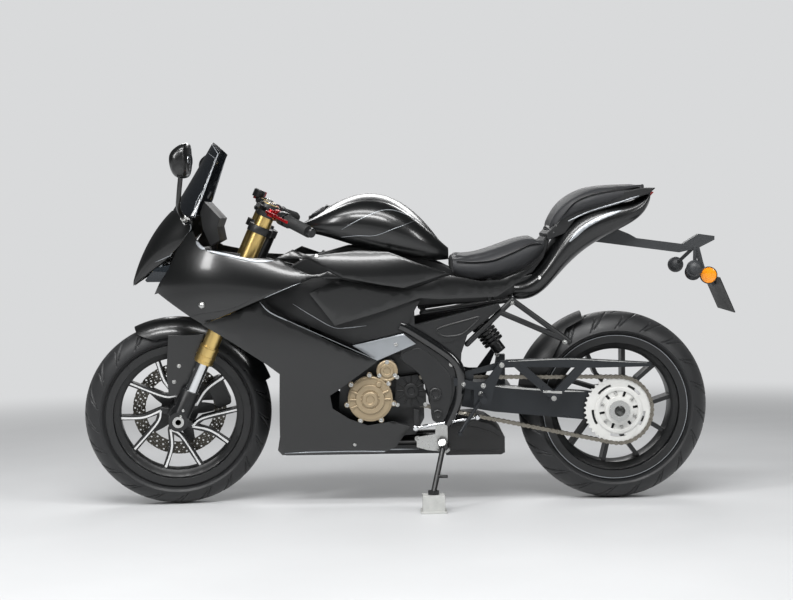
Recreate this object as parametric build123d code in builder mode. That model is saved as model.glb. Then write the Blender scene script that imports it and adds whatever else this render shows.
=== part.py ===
from build123d import *
import math
import os

# A sport bike parked on its side stand, whose foot rests on a small block.
# X runs to the rear, Y to the rider's right and Z up. Lengths are millimetres.
# Pieces are drawn upright, with X from the front axle and Z from the ground,
# and are then leaned as the bike parks, with the origin in the rear axle's bore.

# Stance
WHEELBASE = 1415.0
FRONT_RADIUS = 300.0
REAR_RADIUS = 306.0
RAKE = 24.5
FORK_OFFSET = 30.0
LEAN = 5.0
REST_STEER = 9.0
RUNNING_GAP = 0.3
PIN_GAP = 0.05
SEAT_GAP = 0.3
OVERRUN = 20.0

# Wheels
FRONT_TYRE_HALF = 60.0
FRONT_CROWN = 62.0
FRONT_RIM_HALF = 50.0
REAR_TYRE_HALF = 76.0
REAR_CROWN = 80.0
REAR_RIM_HALF = 62.0
BEAD_RADIUS = 217.0
LIP_RADIUS = 232.0
BARREL_WALL = 9.0
LIP_WALL = 8.0
TYRE_WALL = 10.0
BEAD_WIDTH = 12.0
FRONT_AXLE_RADIUS = 15.0
FRONT_AXLE_BORE = 9.0
REAR_AXLE_RADIUS = 25.0
REAR_AXLE_BORE = 17.0
HUB_RADIUS = 36.0
ARM_WIDTH = 16.0
ARM_DEPTH = 26.0
ARM_COUNT = 5
FRONT_ARM_TURN = 34.0
REAR_ARM_TURN = 28.0
PAIR_SPREAD = 36.0
REAR_HUB_RIGHT = 30.0
REAR_HUB_LEFT = -22.0

# Front brake
DISC_RADIUS = 153.0
DISC_INNER = 112.0
DISC_THICK = 5.0
DISC_PLACE = 60.0
SPIDER_RADIUS = 58.0
SPIDER_THICK = 8.0
SPIDER_ARM = 16.0
CALIPER_LENGTH = 96.0
CALIPER_WIDTH = 52.0
CALIPER_HALF_DEPTH = 34.0
CALIPER_THROAT = 20.0
CALIPER_ANGLE = 22.0
CALIPER_INSET = 8.0

# Drive
CHAIN_PITCH = 15.875
REAR_TEETH = 42
FRONT_TEETH = 16
CHAIN_PLACE = -118.0
ROLLER_RADIUS = 5.1
PLATE_HEIGHT = 14.0
PLATE_THICK = 2.0
TOOTH_THICK = 6.4
TOOTH_HEIGHT = 3.4
OUTPUT_X = 757.0
OUTPUT_Z = 380.0

# Fork
LEG_SPACING = 105.0
TUBE_RADIUS = 26.5
TUBE_WALL = 3.0
COLLAR_RADIUS = 30.0
COLLAR_HEIGHT = 58.0
TUBE_BOTTOM = 200.0
TUBE_TOP = 748.0
STANCHION_RADIUS = 21.5
BOTTOM_TOP = 102.0
BOTTOM_RADIUS = 29.0
BOTTOM_BLOCK_DEPTH = 58.0
BOTTOM_BLOCK_WIDTH = 62.0
CLAMP_THICK_LOWER = 44.0
CLAMP_THICK_UPPER = 24.0
CLAMP_LOWER = 425.0
CLAMP_UPPER = 648.0
CLAMP_WALL = 13.0
STEM_RADIUS = 15.0
HEAD_RADIUS = 30.0
HEAD_GAP = 2.0
CAP_HEIGHT = 14.0
BAR_CLAMP_HEIGHT = 42.0
BAR_CLAMP_WALL = 6.0
BAR_LEVEL = 725.0
BAR_RADIUS = 11.0
BAR_BORE = 7.0
BAR_LENGTH = 268.0
BAR_SWEEP = 28.0
GRIP_RADIUS = 17.0
GRIP_LENGTH = 125.0
GRIP_INSET = 10.0
SWITCH_LENGTH = 44.0
SWITCH_RADIUS = 22.0
LEVER_LENGTH = 170.0
LEVER_THICK = 9.0
LEVER_BOSS = 11.0
CUP_ARM_RADIUS = 4.0
LEVER_REACH = 62.0
LEVER_BEND = 18.0
PERCH_LENGTH = 38.0
RESERVOIR_RADIUS = 19.0
RESERVOIR_HEIGHT = 34.0

# Side stand
STAND_X = 856.0
STAND_Z = 210.0
STAND_Y = -160.0
STAND_BOLT = 7.0
STAND_EYE_RADIUS = 16.0
STAND_EYE_LENGTH = 20.0
STAND_LEG = 166.0
STAND_LEG_RADIUS = 8.5
STAND_FOOT_RADIUS = 17.0
STAND_FOOT_THICK = 6.0
STAND_FORWARD = 0.22
STAND_OUT = 0.60
STAND_DOWN = 0.77
FOLD_REAR = 0.94
FOLD_OUT = 0.15
FOLD_UP = 0.32
TANG_LENGTH = 34.0
TANG_RADIUS = 5.0
BRACKET_LENGTH = 98.0
BRACKET_HEIGHT = 92.0
BRACKET_THICK = 12.0
BLOCK_LENGTH = 68.0
BLOCK_DEPTH = 70.0
BLOCK_FLANGE = 6.0
BLOCK_FLANGE_EDGE = 6.0

# Engine and exhaust
ENGINE_X = 520.0
ENGINE_Z = 225.0
ENGINE_LENGTH = 278.0
ENGINE_HEIGHT = 440.0
CASE_HALF = 100.0
CYLINDER_HALF = 105.0
COVER_FACE = 178.0
STATOR_X = 628.0
STATOR_Z = 361.0
STATOR_RADIUS = 62.0
STATOR_FLANGE = 70.0
STATOR_BOSS = 24.0
PUMP_X = 682.0
PUMP_Z = 449.0
PUMP_RADIUS = 33.0
GUARD_LENGTH = 104.0
GUARD_HEIGHT = 106.0
PIPE_RADIUS = 21.0
PIPE_SPACING = 62.0
PIPE_BEND = 60.0
MUFFLER_LENGTH = 190.0
MUFFLER_HEIGHT = 116.0
MUFFLER_HALF = 116.0
MUFFLER_X = 866.0
MUFFLER_Z = 168.0
RADIATOR_X = 372.0
RADIATOR_Z = 320.0
RADIATOR_HEIGHT = 290.0
RADIATOR_HALF = 150.0
RADIATOR_THICK = 34.0
RADIATOR_TILT = 8.0

# Frame
PLATE_INNER = 138.0
PLATE_OUTER = 166.0
PIVOT_X = 832.0
PIVOT_Z = 374.0
PIVOT_RADIUS = 12.0
PIVOT_TUBE = 28.0
PIVOT_HALF = 100.0

# Swingarm
BEAM_LEFT = -106.0
BEAM_RIGHT = -84.0
CARRIER_RADIUS = 64.0
CARRIER_LEFT = -104.0
CARRIER_RIGHT = -28.0
TRUSS_LEFT = -150.0
TRUSS_RIGHT = -134.0

# Wheel and brake details
LIP_GAP = 4.0
WELL_RUN = 10.0
WELL_DEPTH = 22.0
FRONT_HUB_RIGHT = 56.0
FRONT_HUB_LEFT = 44.0
APEX_RADIUS = 60.0
APEX_TURN = 14.0
ARM_ROOT = 6.0
FLARED_KNEE = 118.0
FLARED_TURN = -2.0
PLAIN_KNEE = 78.0
PLAIN_TURN = 20.0
ARM_SHARES = (1.3, 1.2, 1.0, 1.0)
REAR_ARM_WIDTH = 13.0
REAR_HUB_RADIUS = 52.0
REAR_DISC_INNER = 76.0
REAR_DISC_BORE = 70.0
REAR_NUT_RADIUS = 33.0
NUT_THICK = 9.0
SPIDER_BORE = 28.0
SPIDER_ARMS = 6
SPIDER_SWEEP = 14.0
SPROCKET_HUB = 16.0
SPROCKET_HUB_RADIUS = 44.0
HUB_FACE_GAP = 6.0
SLOT_COUNT = 5
SLOT_TURN = 20.0
SLOT_SPAN = 34.0
SLOT_SPAN_SHARES = (-0.5, -0.25, 0.0, 0.25, 0.5)
SLOT_RADIUS = 82.0
SLOT_WIDTH = 8.0
TOOTH_SHARES = ((0.0, -1.0), (0.22, -0.7), (0.42, 1.0), (0.58, 1.0), (0.78, -0.7))
CALIPER_RADIUS = 140.0
CALIPER_CORNER = 10.0

# Chain details
MESH_LINKS = 3.5
CHAIN_SIDE_GAP = 0.8
BRIDGE_RADIUS = 1.3
BRIDGE_INSET = 1.6
FRONT_SPROCKET = 34.0
SHAFT_RADIUS = 14.0

# Fork details
STANCHION_SEAT = 40.0
LUG_THICK = 12.0
LUG_LENGTH = 105.0
LUG_OUTLINE_SHARES = ((0.0, 0.2), (0.9, 0.6), (1.0, 1.05), (0.6, 1.1), (0.0, 0.8))
SPACER_RADIUS = 20.0
AXLE_HEAD_RADIUS = 18.0
AXLE_HEAD = 4.0
STEM_EYE = 30.0
STEM_NUT = 10.0
BAR_BORE_DEPTH = 30.0
FENDER_HALF = 70.0
FENDER_SIDE = 262.0
FENDER_CROWN = 318.0
FENDER_WALL = 3.0
FENDER_REAR_SWEEP = 70.0
FENDER_FRONT_SWEEP = 26.0
FENDER_LENGTH = 640.0
FENDER_TOP = 330.0
FENDER_OUTLINE_SHARES = (
    (0.29, 0.885), (0.31, 0.82), (0.44, 0.74), (0.55, 0.70), (0.64, 0.68), (0.73, 0.545),
    (0.79, 0.40), (0.86, 0.38), (0.93, 0.32), (0.97, 0.33), (0.97, 1.0), (0.28, 1.0),
)
STAY_LENGTH = 120.0
STAY_HEIGHT = 196.0
STAY_BOTTOM = 72.0
STAY_THICK = 6.0
STAY_OUTLINE_SHARES = (
    (0.26, 0.0), (0.22, 0.4), (0.30, 1.0), (1.22, 1.0), (1.07, 0.62), (0.86, 0.14), (0.79, 0.03),
)

# Stand details
TANG_PLACE = 110.0
STAND_EAR = 14.0
STAND_HEAD = 6.0
BRACKET_X = 772.0
BRACKET_LEFT = -140.0
BRACKET_OUTLINE_SHARES = (
    (0.0, 0.15), (0.35, 0.05), (0.7, 0.0), (1.0, 0.0), (1.0, 1.0), (0.64, 1.0), (0.6, 0.6),
    (0.0, 0.5),
)

# Engine details
COVER_SEAT = 140.0
COVER_STEP = 8.0
CASE_OUTLINE_SHARES = (
    (0.02, 0.22), (0.15, 0.06), (0.38, 0.0), (0.90, 0.02), (1.0, 0.14), (1.0, 0.42), (0.95, 0.56),
    (0.75, 0.60), (0.50, 0.62), (0.06, 0.52),
)
CYLINDER_OUTLINE_SHARES = ((0.06, 0.52), (0.50, 0.62), (0.22, 1.0), (-0.28, 0.90))
GUARD_OUTLINE_SHARES = ((0.0, 0.15), (0.12, 0.0), (0.95, 0.02), (0.95, 0.45), (0.70, 0.98), (0.05, 0.9))
GUARD_INNER = -131.0
GUARD_OUTER = -136.0
PIPE_X = 430.0
PIPE_Z = 198.0
PIPE_LENGTH = 450.0
PIPE_HEIGHT = 330.0
PIPE_ROUTE_SHARES = ((0.12, 1.0), (0.0, 0.78), (0.0, 0.0), (1.0, 0.0))
MUFFLER_OUTLINE_SHARES = ((0.0, 0.0), (0.92, 0.0), (0.985, 0.05), (0.985, 0.48), (0.88, 0.68), (0.72, 0.86),
                          (0.5, 0.95), (0.3, 0.93), (0.0, 0.80))

# Frame details
SPAR_X = 215.0
SPAR_Z = 560.0
SPAR_LENGTH = 555.0
SPAR_RISE = 170.0
SPAR_WIDTH = 28.0
SPAR_HEIGHT = 120.0
SPAR_SECTION_SHARES = (
    (0.0, 1.0, 0.06, 0.86, 0.58), (0.153, 0.82, 0.22, 1.0, 0.83), (0.387, 0.47, 0.855, 1.0, 1.0),
    (1.0, 0.0, 1.0, 1.0, 0.67),
)
HANGER_REACH = 50.0
HANGER_PLACE = 120.0
HANGER_RADIUS = 8.0
PIVOT_PLATE_X = 720.0
PIVOT_PLATE_Z = 278.0
PIVOT_PLATE_LENGTH = 320.0
PIVOT_PLATE_HEIGHT = 377.0
PIVOT_OUTLINE_SHARES = ((0.01, 0.55), (0.055, 0.83), (0.18, 0.835), (0.975, 1.0), (1.0, 0.96), (0.67, 0.74),
                        (0.61, 0.59), (0.60, 0.45), (0.58, 0.28), (0.485, 0.0), (0.36, 0.0), (0.36, 0.14),
                        (0.25, 0.32), (0.155, 0.51))
BEAM_LENGTH = WHEELBASE - PIVOT_X
BEAM_HEIGHT = 100.0
BEAM_OUTLINE_SHARES = (
    (0.0, 0.34), (0.30, 0.17), (0.83, -0.08), (0.975, -0.24), (0.975, -1.12), (0.78, -0.97),
    (0.325, -0.70), (0.0, -0.36),
)
BRIDGE_HALF = 60.0
BRIDGE_OUTLINE_SHARES = ((0.22, 0.18), (0.425, 0.06), (0.425, -0.66), (0.22, -0.56))
SHORT_ARM_SHARES = ((0.0, 0.28), (0.30, 0.12), (0.34, -0.5), (0.30, -0.60), (0.0, -0.28))
CLEVIS_SHARES = ((0.325, 0.05), (0.40, 0.04), (0.40, 1.02), (0.355, 1.02))
CLEVIS_HALF = 12.0
TRUSS_X = 924.0
TRUSS_Z = 351.0
TRUSS_BEHIND = 98.0
TRUSS_LENGTH = WHEELBASE + TRUSS_BEHIND - TRUSS_X
TRUSS_HEIGHT = 124.0
TRUSS_RAIL_SHARES = ((0.0, 0.70), (0.205, 0.96), (0.23, 1.0), (0.58, 1.02), (1.0, 0.88), (1.0, 0.78),
                     (0.69, 0.765), (0.305, 0.815), (0.22, 0.80), (0.02, 0.62))
TRUSS_LEG_SHARES = (
    ((0.28, 0.895), (0.48, 0.05)), ((0.48, 0.05), (0.64, 0.84)), ((0.03, 0.65), (0.012, 0.17)),
)
TRUSS_BOSS_SHARES = ((0.48, 0.01), (0.012, 0.13))
TRUSS_WIDTH = 26.0
TRUSS_BOSS = 14.0
SHOCK_HIGH_X = 960.0
SHOCK_HIGH_Z = 612.0
SHOCK_LOW_X = 1052.0
SHOCK_LOW_Z = 486.0
SHOCK_RADIUS = 20.0
SHOCK_BAR = 12.0
COIL_COUNT = 8
COIL_START = 22.0
COIL_PITCH = 13.0
COIL_RADIUS = 34.0
COIL_WIRE = 7.0
HUGGER_HALF = 87.0
HUGGER_SIDE = 258.0
HUGGER_CROWN = 326.0
HUGGER_SWEEP = 66.0
HUGGER_AHEAD = 315.0
HUGGER_X = WHEELBASE - HUGGER_AHEAD
HUGGER_Z = 430.0
HUGGER_LENGTH = 210.0
HUGGER_HEIGHT = 215.0
HUGGER_OUTLINE_SHARES = (
    (0.0, 0.0), (0.0, 0.45), (0.45, 1.0), (1.0, 1.0), (1.0, 0.75), (0.75, 0.62), (0.42, 0.0),
)
HUGGER_STAY_SHARES = ((0.0, -0.214), (0.238, -0.233), (0.47, 0.02), (0.45, 0.17), (0.05, 0.1))

# Subframe and foot rests
SUBFRAME_RADIUS = 9.0
SUBFRAME_HALF = 120.0
SUBFRAME_OUTER = 150.0
SUBFRAME_X = 795.0
SUBFRAME_Z = 527.5
SUBFRAME_LENGTH = 460.0
SUBFRAME_HEIGHT = 135.5
SUBFRAME_RAIL_SHARES = ((0.0, 0.72), (0.613, 1.0))
SUBFRAME_STRUT_SHARES = (
    ((0.3035, 0.0), (0.613, 1.0)), ((0.613, 1.0), (1.0, 0.018)), ((0.533, 0.72), (1.0, 0.018)),
)
SUBFRAME_CROSS_SHARES = ((0.613, 1.0), (0.011, 0.725))
REST_X = 890.0
REST_Z = 330.0
REST_LENGTH = 163.0
REST_HEIGHT = 146.0
REST_THICK = 10.0
REST_PLACE = 171.0
REST_OUTLINE_SHARES = (
    (0.38, 0.05), (0.69, 0.0), (0.76, 0.35), (1.0, 1.0), (0.9, 1.0), (0.6, 0.55), (0.43, 0.55),
    (0.0, 0.65), (0.0, 0.48), (0.38, 0.38),
)
PEG_X = 979.0
PEG_Z = 362.0
PEG_LENGTH = 80.0
PEG_RADIUS = 11.0
PEDAL_X = 907.0
PEDAL_Z = 251.0
PEDAL_LENGTH = 38.0
PEDAL_RADIUS = 6.0

# Seats that carry the body
SEAT_RADIUS = 6.0
SEAT_REACH = 80.0
FAIRING_FACE = 150.0
LAMP_FACE = 40.0
STAY_LEVEL = 560.0
STAY_RADIUS = 9.0
DASH_FOOT_X = 128.0
DASH_FOOT_Z = 832.5
TANK_LUG_X = 690.0
TANK_LUG_Z = 812.0
TANK_LUG_HALF = 160.0
TANK_LUG_RADIUS = 8.0
TANK_REST_X = 600.0
TANK_REST_Z = 680.0
TANK_FOOT_RADIUS = 14.0
TANK_FOOT_TOP = 850.0
SEAT_REST_X = 1009.0
SEAT_REST_Z = 723.1
TAIL_FOOT_X = 1105.0
TAIL_FOOT_Z = 690.0
ENGINE_LUG_X = 752.0
ENGINE_LUG_Z = 482.0
ENGINE_LUG_RADIUS = 14.0
GUARD_SEAT_SHARES = ((0.1, 0.16), (0.1, 0.83))
GUARD_SEAT_RADIUS = 5.0
PAN_FOOT_X = 632.0
PAN_FOOT_PLACE = 31.0
PAN_FOOT_RADIUS = 8.0
UPPER_SEAT_SHARES = ((0.225, 0.753),)
LOWER_SEAT_SHARES = ((0.431, 0.54),)
VENT_SEAT_SHARES = ((0.612, 0.56),)
VENT_FACE_SHARE = 0.996
COVER_SEAT_SHARES = ((0.647, 0.83),)
SIDE_SEAT_SHARES = ((0.21, 0.36),)
TRIM_SEAT_SHARES = ((0.88, 0.70),)
LAMP_SEAT_SHARES = ((0.705, 0.51),)

# Body panel sizes, each with its lower front corner, length, half width and height
PANEL_WALL = 3.0
NOSE_X = -135.0
NOSE_Z = 690.0
NOSE_LENGTH = 215.0
NOSE_HALF = 148.0
NOSE_HEIGHT = 300.0
NOSE_SECTION_SHARES = (
    (0.0, 0.10, 0.10, 0.16), (0.26, 0.42, 0.23, 0.58), (0.63, 0.73, 0.42, 0.91),
    (1.0, 1.0, 0.72, 1.04),
)
NOSE_OUTLINE_SHARES = ((-0.1, -0.1), (-0.1, 0.9), (0.59, 0.9), (1.05, 0.81), (1.05, -0.1))
SCREEN_X = -20.0
SCREEN_Z = 880.0
SCREEN_LENGTH = 210.0
SCREEN_HALF = 130.0
SCREEN_HEIGHT = 296.0
SCREEN_WALL = 4.0
SCREEN_SECTION_SHARES = ((0.0, -0.16, 0.52, 1.0), (0.4, 0.21, 0.62, 0.9), (1.0, 0.73, 0.98, 0.65))
SCREEN_OUTLINE_SHARES = (
    (0.095, 0.264), (0.115, 0.345), (0.725, 1.0), (1.0, 0.79), (1.0, 0.71), (0.615, 0.39),
    (0.52, 0.182),
)
UPPER_X = -47.0
UPPER_Z = 607.0
UPPER_LENGTH = 600.0
UPPER_HALF = 245.0
UPPER_HEIGHT = 296.0
UPPER_SECTION_SHARES = (
    (-0.02, (0.40, 0.25), (0.45, 0.42), (0.36, 0.64)),
    (0.10, (0.62, 0.05), (0.70, 0.48), (0.50, 0.84)),
    (0.28, (0.80, -0.05), (0.92, 0.42), (0.60, 1.02)),
    (0.58, (0.88, -0.05), (1.0, 0.44), (0.78, 0.82)),
    (1.02, (0.80, 0.2), (0.86, 0.48), (0.80, 0.75)),
)
UPPER_OUTLINE_SHARES = (
    (0.21, 1.0), (0.235, 0.895), (0.29, 0.79), (0.495, 0.69), (0.655, 0.67), (0.815, 0.65),
    (0.99, 0.46), (0.835, 0.465), (0.575, 0.255), (0.39, 0.095), (0.27, 0.0), (0.205, 0.075),
    (0.025, 0.315), (0.0, 0.30), (0.035, 0.425), (0.09, 0.57), (0.13, 0.755),
)
LOWER_X = 114.0
LOWER_Z = 177.0
LOWER_LENGTH = 640.0
LOWER_HALF = 222.0
LOWER_HEIGHT = 506.0
LOWER_SECTION_SHARES = (
    (-0.02, (0.62, -0.03), (0.90, 0.5), (0.97, 1.03)),
    (0.34, (0.50, -0.03), (0.97, 0.5), (0.99, 1.03)),
    (1.02, (0.55, -0.03), (0.86, 0.35), (0.82, 0.75)),
)
LOWER_OUTLINE_SHARES = (
    (0.0, 0.85), (0.115, 0.90), (0.29, 0.99), (0.335, 0.92), (0.45, 0.845), (0.66, 0.705),
    (0.84, 0.605), (0.635, 0.42), (0.61, 0.40), (0.62, 0.315), (0.70, 0.245), (0.79, 0.20),
    (0.91, 0.225), (1.0, 0.195), (0.925, 0.05), (0.86, 0.005), (0.36, 0.0), (0.34, 0.035),
    (0.355, 0.13), (0.365, 0.405), (0.37, 0.54), (0.31, 0.60), (0.145, 0.74),
)
VENT_X = 300.0
VENT_Z = 534.0
VENT_LENGTH = 490.0
VENT_HALF = 173.0
VENT_HEIGHT = 208.0
VENT_SECTION_SHARES = (
    (-0.02, (0.98, -0.05), (1.0, 0.5), (0.97, 1.05)),
    (1.02, (0.985, -0.05), (0.995, 0.5), (0.985, 1.05)),
)
VENT_OUTLINE_SHARES = ((0.0, 0.70), (0.315, 1.0), (0.5, 0.98), (1.0, 0.665), (0.885, 0.175), (0.565, 0.0),
                       (0.21, 0.365), (0.06, 0.55))
COVER_X = 343.0
COVER_Z = 707.0
COVER_LENGTH = 536.0
COVER_HALF = 212.0
COVER_HEIGHT = 126.0
COVER_SECTION_SHARES = (
    (-0.02, (0.95, -0.1), (0.98, 0.5), (0.90, 1.05)),
    (0.4, (0.98, -0.1), (1.0, 0.4), (0.84, 1.05)), (1.02, (0.80, -0.1), (0.82, 0.4), (0.76, 1.0)),
)
COVER_OUTLINE_SHARES = (
    (0.0, 0.785), (0.10, 1.0), (0.21, 0.825), (0.35, 0.9), (0.475, 0.96), (0.65, 0.905),
    (0.81, 0.635), (1.0, 0.35), (0.98, 0.34), (0.735, 0.02), (0.605, 0.11), (0.39, 0.30),
    (0.19, 0.765),
)
SIDE_X = 446.0
SIDE_Z = 595.0
SIDE_LENGTH = 732.0
SIDE_HALF = 190.0
SIDE_HEIGHT = 208.0
SIDE_SECTION_SHARES = (
    (-0.02, (0.98, -0.1), (1.0, 0.45), (0.96, 1.05)),
    (0.5, (0.93, -0.1), (0.94, 0.4), (0.86, 1.05)),
    (1.02, (0.68, -0.1), (0.72, 0.5), (0.64, 1.05)),
)
SIDE_OUTLINE_SHARES = (
    (0.0, 0.485), (0.085, 0.635), (0.14, 0.68), (0.30, 0.56), (0.40, 0.51), (0.525, 0.65),
    (0.595, 0.72), (0.725, 0.625), (0.81, 0.635), (0.935, 0.79), (1.0, 0.975), (0.90, 0.625),
    (0.795, 0.385), (0.55, 0.37), (0.465, 0.39), (0.295, 0.19), (0.105, 0.0),
)
TRIM_X = 576.0
TRIM_Z = 482.0
TRIM_LENGTH = 197.0
TRIM_HALF = 179.0
TRIM_HEIGHT = 83.0
TRIM_SECTION_SHARES = (
    (-0.05, (0.99, -0.1), (1.0, 0.5), (0.985, 1.1)),
    (1.05, (0.98, -0.1), (0.99, 0.5), (0.975, 1.1)),
)
TRIM_OUTLINE_SHARES = ((0.0, 0.59), (0.8, 1.0), (1.0, 0.615), (0.38, 0.0))
LAMP_X = -87.0
LAMP_Z = 732.0
LAMP_LENGTH = 95.0
LAMP_HALF = 116.0
LAMP_HEIGHT = 65.0
LAMP_DEPTH = 14.0
LAMP_SECTION_SHARES = (
    (-0.05, (0.50, -0.2), (0.54, 0.5), (0.48, 1.2)), (1.05, (0.98, -0.2), (1.0, 0.5), (0.94, 1.2)),
)
LAMP_OUTLINE_SHARES = ((0.0, 0.10), (0.41, 0.70), (1.0, 0.88), (0.97, 0.60), (0.62, 0.02), (0.06, 0.0))
PAN_X = 352.0
PAN_Z = 170.0
PAN_LENGTH = 500.0
PAN_HALF = 90.0
PAN_TOP_HALF = 104.0
PAN_HEIGHT = 30.0
TANK_X = 405.0
TANK_Z = 778.0
TANK_LENGTH = 477.0
TANK_HALF = 172.0
TANK_HEIGHT = 226.0
TANK_SECTION_SHARES = (
    (0.0, (0.30, 0.46), (0.36, 0.51), (0.24, 0.56), 0.575),
    (0.2, (0.68, 0.40), (0.82, 0.50), (0.58, 0.74), 0.82),
    (0.5, (0.76, 0.20), (1.0, 0.44), (0.66, 0.90), 1.0),
    (0.81, (0.66, 0.06), (0.90, 0.28), (0.50, 0.58), 0.665),
    (1.0, (0.34, 0.06), (0.46, 0.10), (0.26, 0.14), 0.155),
)
SEAT_X = 888.0
SEAT_Z = 730.0
SEAT_LENGTH = 302.0
SEAT_HALF = 142.0
SEAT_HEIGHT = 126.0
SEAT_SECTION_SHARES = (
    (0.0, (0.76, 0.14), (0.92, 0.34), (0.66, 0.56), 0.64),
    (0.4, (0.80, 0.02), (1.0, 0.26), (0.76, 0.62), 0.70),
    (0.8, (0.70, 0.32), (0.90, 0.58), (0.66, 0.90), 0.99),
    (1.0, (0.54, 0.70), (0.66, 0.78), (0.42, 0.86), 0.90),
)
PAD_X = 1210.0
PAD_Z = 846.4
PAD_LENGTH = 302.0
PAD_HALF = 110.0
PAD_HEIGHT = 174.0
PAD_SECTION_SHARES = (
    (0.0, (0.64, 0.04), (0.78, 0.14), (0.52, 0.28), 0.34),
    (0.24, (0.84, 0.44), (1.0, 0.58), (0.76, 0.77), 0.83),
    (0.68, (0.80, 0.68), (0.94, 0.78), (0.72, 0.92), 0.97),
    (1.0, (0.52, 0.89), (0.62, 0.93), (0.44, 0.98), 1.0),
)
TAIL_X = 1090.0
TAIL_Z = 672.0
TAIL_LENGTH = 438.0
TAIL_HALF = 118.0
TAIL_HEIGHT = 338.0
TAIL_SECTION_SHARES = (
    (0.0, (0.34, 0.0), (0.78, 0.07), (0.68, 0.12), 0.145),
    (0.24, (0.50, 0.08), (1.0, 0.24), (0.72, 0.36), 0.385),
    (0.46, (0.42, 0.36), (0.97, 0.57), (0.68, 0.71), 0.73),
    (0.76, (0.34, 0.63), (0.85, 0.76), (0.60, 0.83), 0.85),
    (1.0, (0.18, 0.955), (0.50, 0.975), (0.26, 0.99), 1.0),
)
GLOW_X = 1452.0
GLOW_Z = 906.0
GLOW_LENGTH = 90.0
GLOW_HEIGHT = 92.0
GLOW_HALF = 48.0
GLOW_OUTLINE_SHARES = ((0.0, 0.06), (0.9, 1.0), (1.0, 0.96), (0.1, 0.0))
HOLDER_X = 1352.0
HOLDER_Z = 600.0
HOLDER_LENGTH = 394.0
HOLDER_HEIGHT = 304.0
HOLDER_HALF = 14.0
HOLDER_OUTLINE_SHARES = (
    (0.0, 0.786), (0.19, 0.92), (0.30, 0.86), (0.36, 0.815), (0.74, 0.745), (0.87, 0.85),
    (1.0, 0.825), (1.0, 0.785), (0.87, 0.70), (0.71, 0.655),
)
HANGER_SHARES = ((0.86, 0.73), (0.895, 0.55), (0.925, 0.425), (1.0, 0.30))
HANGER_THICK = 10.0
BLINKER_ROOT_SHARE = (0.85, 0.72)
BLINKER_TIP_SHARE = (0.765, 0.505)
BLINKER_PLACE = 128.0
BLINKER_STALK = 6.0
BLINKER_RADIUS = 26.0
REFLECTOR_SHARE = (0.90, 0.425)
REFLECTOR_PLACE = 92.0
REFLECTOR_THICK = 7.0
REFLECTOR_RADIUS = 26.0
PLATE_SHARES = ((0.985, 0.40), (1.11, 0.03))
PLATE_SHEET = 3.0
PLATE_HALF = 100.0
MIRROR_X = 47.0
MIRROR_Z = 1053.0
MIRROR_LENGTH = 67.0
MIRROR_HEIGHT = 105.0
MIRROR_INNER = 210.0
MIRROR_OUTER = 345.0
MIRROR_OUTLINE_SHARES = (
    (0.85, 1.0), (0.13, 0.76), (0.0, 0.50), (0.30, 0.0), (0.87, 0.04), (1.0, 0.30), (0.91, 0.70),
)
STALK_X = 64.7
STALK_Z = 920.8
STALK_PLACE = 129.1
STALK_AHEAD = 18.3
STALK_OUT = 27.8
STALK_RISE = 13.7
STALK_BEND = 30.0
STALK_RADIUS = 10.0
DASH_X = 98.0
DASH_Z = 845.0
DASH_LENGTH = 62.0
DASH_HEIGHT = 140.0
DASH_HALF = 85.0
DASH_OUTLINE_SHARES = (
    (0.22, 1.0), (1.0, 0.62), (0.84, 0.43), (0.97, 0.12), (0.48, 0.0), (0.11, 0.39), (0.0, 0.75),
)

# Places worked out from the sizes above
REACH = WHEELBASE
rake = math.radians(RAKE)
lean = math.radians(LEAN)
RAKED = Pos(0, 0, FRONT_RADIUS) * Rot(0, RAKE, 0)
TURNED = Pos(FORK_OFFSET, 0, 0) * Rot(0, 0, REST_STEER) * Pos(-FORK_OFFSET, 0, 0)
PARKED = Pos(-WHEELBASE, REAR_RADIUS * math.sin(lean), -REAR_RADIUS * math.cos(lean)) * Rot(LEAN, 0, 0)
FORK_PLACE = PARKED * RAKED * TURNED
FRONT_PLACE = FORK_PLACE * RAKED.inverse()
FRONT_WHEEL_PLACE = FRONT_PLACE * Pos(0, 0, FRONT_RADIUS)
REAR_WHEEL_PLACE = PARKED * Pos(WHEELBASE, 0, REAR_RADIUS)


def outline(shares, corner, length, height):
    """Side outline from shares of a piece's length and height, measured from its lower front corner."""
    return [(corner[0] + u * length, corner[1] + v * height) for u, v in shares]


def slab(points, right, left, mode=Mode.ADD, grow=0):
    """Extrude a side outline, grown all round if asked, between two places across the bike."""
    with BuildSketch(Plane.XZ.offset(-right)) as profile:
        with BuildLine():
            Polyline(*points, close=True)
        make_face()
        if grow:
            offset(amount=grow)
    extrude(profile.sketch, amount=right - left, mode=mode)


def disc_slab(centre, radius, right, left, bore=0, mode=Mode.ADD):
    """Extrude a circle or ring that faces the side between two places across the bike."""
    with BuildSketch(Plane.XZ.offset(-right)) as profile:
        with Locations(centre):
            Circle(radius)
            if bore:
                Circle(bore, mode=Mode.SUBTRACT)
    extrude(profile.sketch, amount=right - left, mode=mode)


def rod(start, end, radius, mode=Mode.ADD):
    """Round bar between two points."""
    run = Vector(*end) - Vector(*start)
    with BuildSketch(Plane(origin=start, z_dir=run)) as profile:
        Circle(radius)
    extrude(profile.sketch, amount=run.length, mode=mode)


def bent_tube(points, bend, radius, bore=0):
    """Tube along straight runs joined by tangent arcs."""
    with BuildLine() as path:
        FilletPolyline(*points, radius=bend)
    with BuildSketch(Plane(origin=path.line @ 0, z_dir=path.line % 0)) as profile:
        Circle(radius)
        if bore:
            Circle(bore, mode=Mode.SUBTRACT)
    sweep(profile.sketch, path=path.line)


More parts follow.
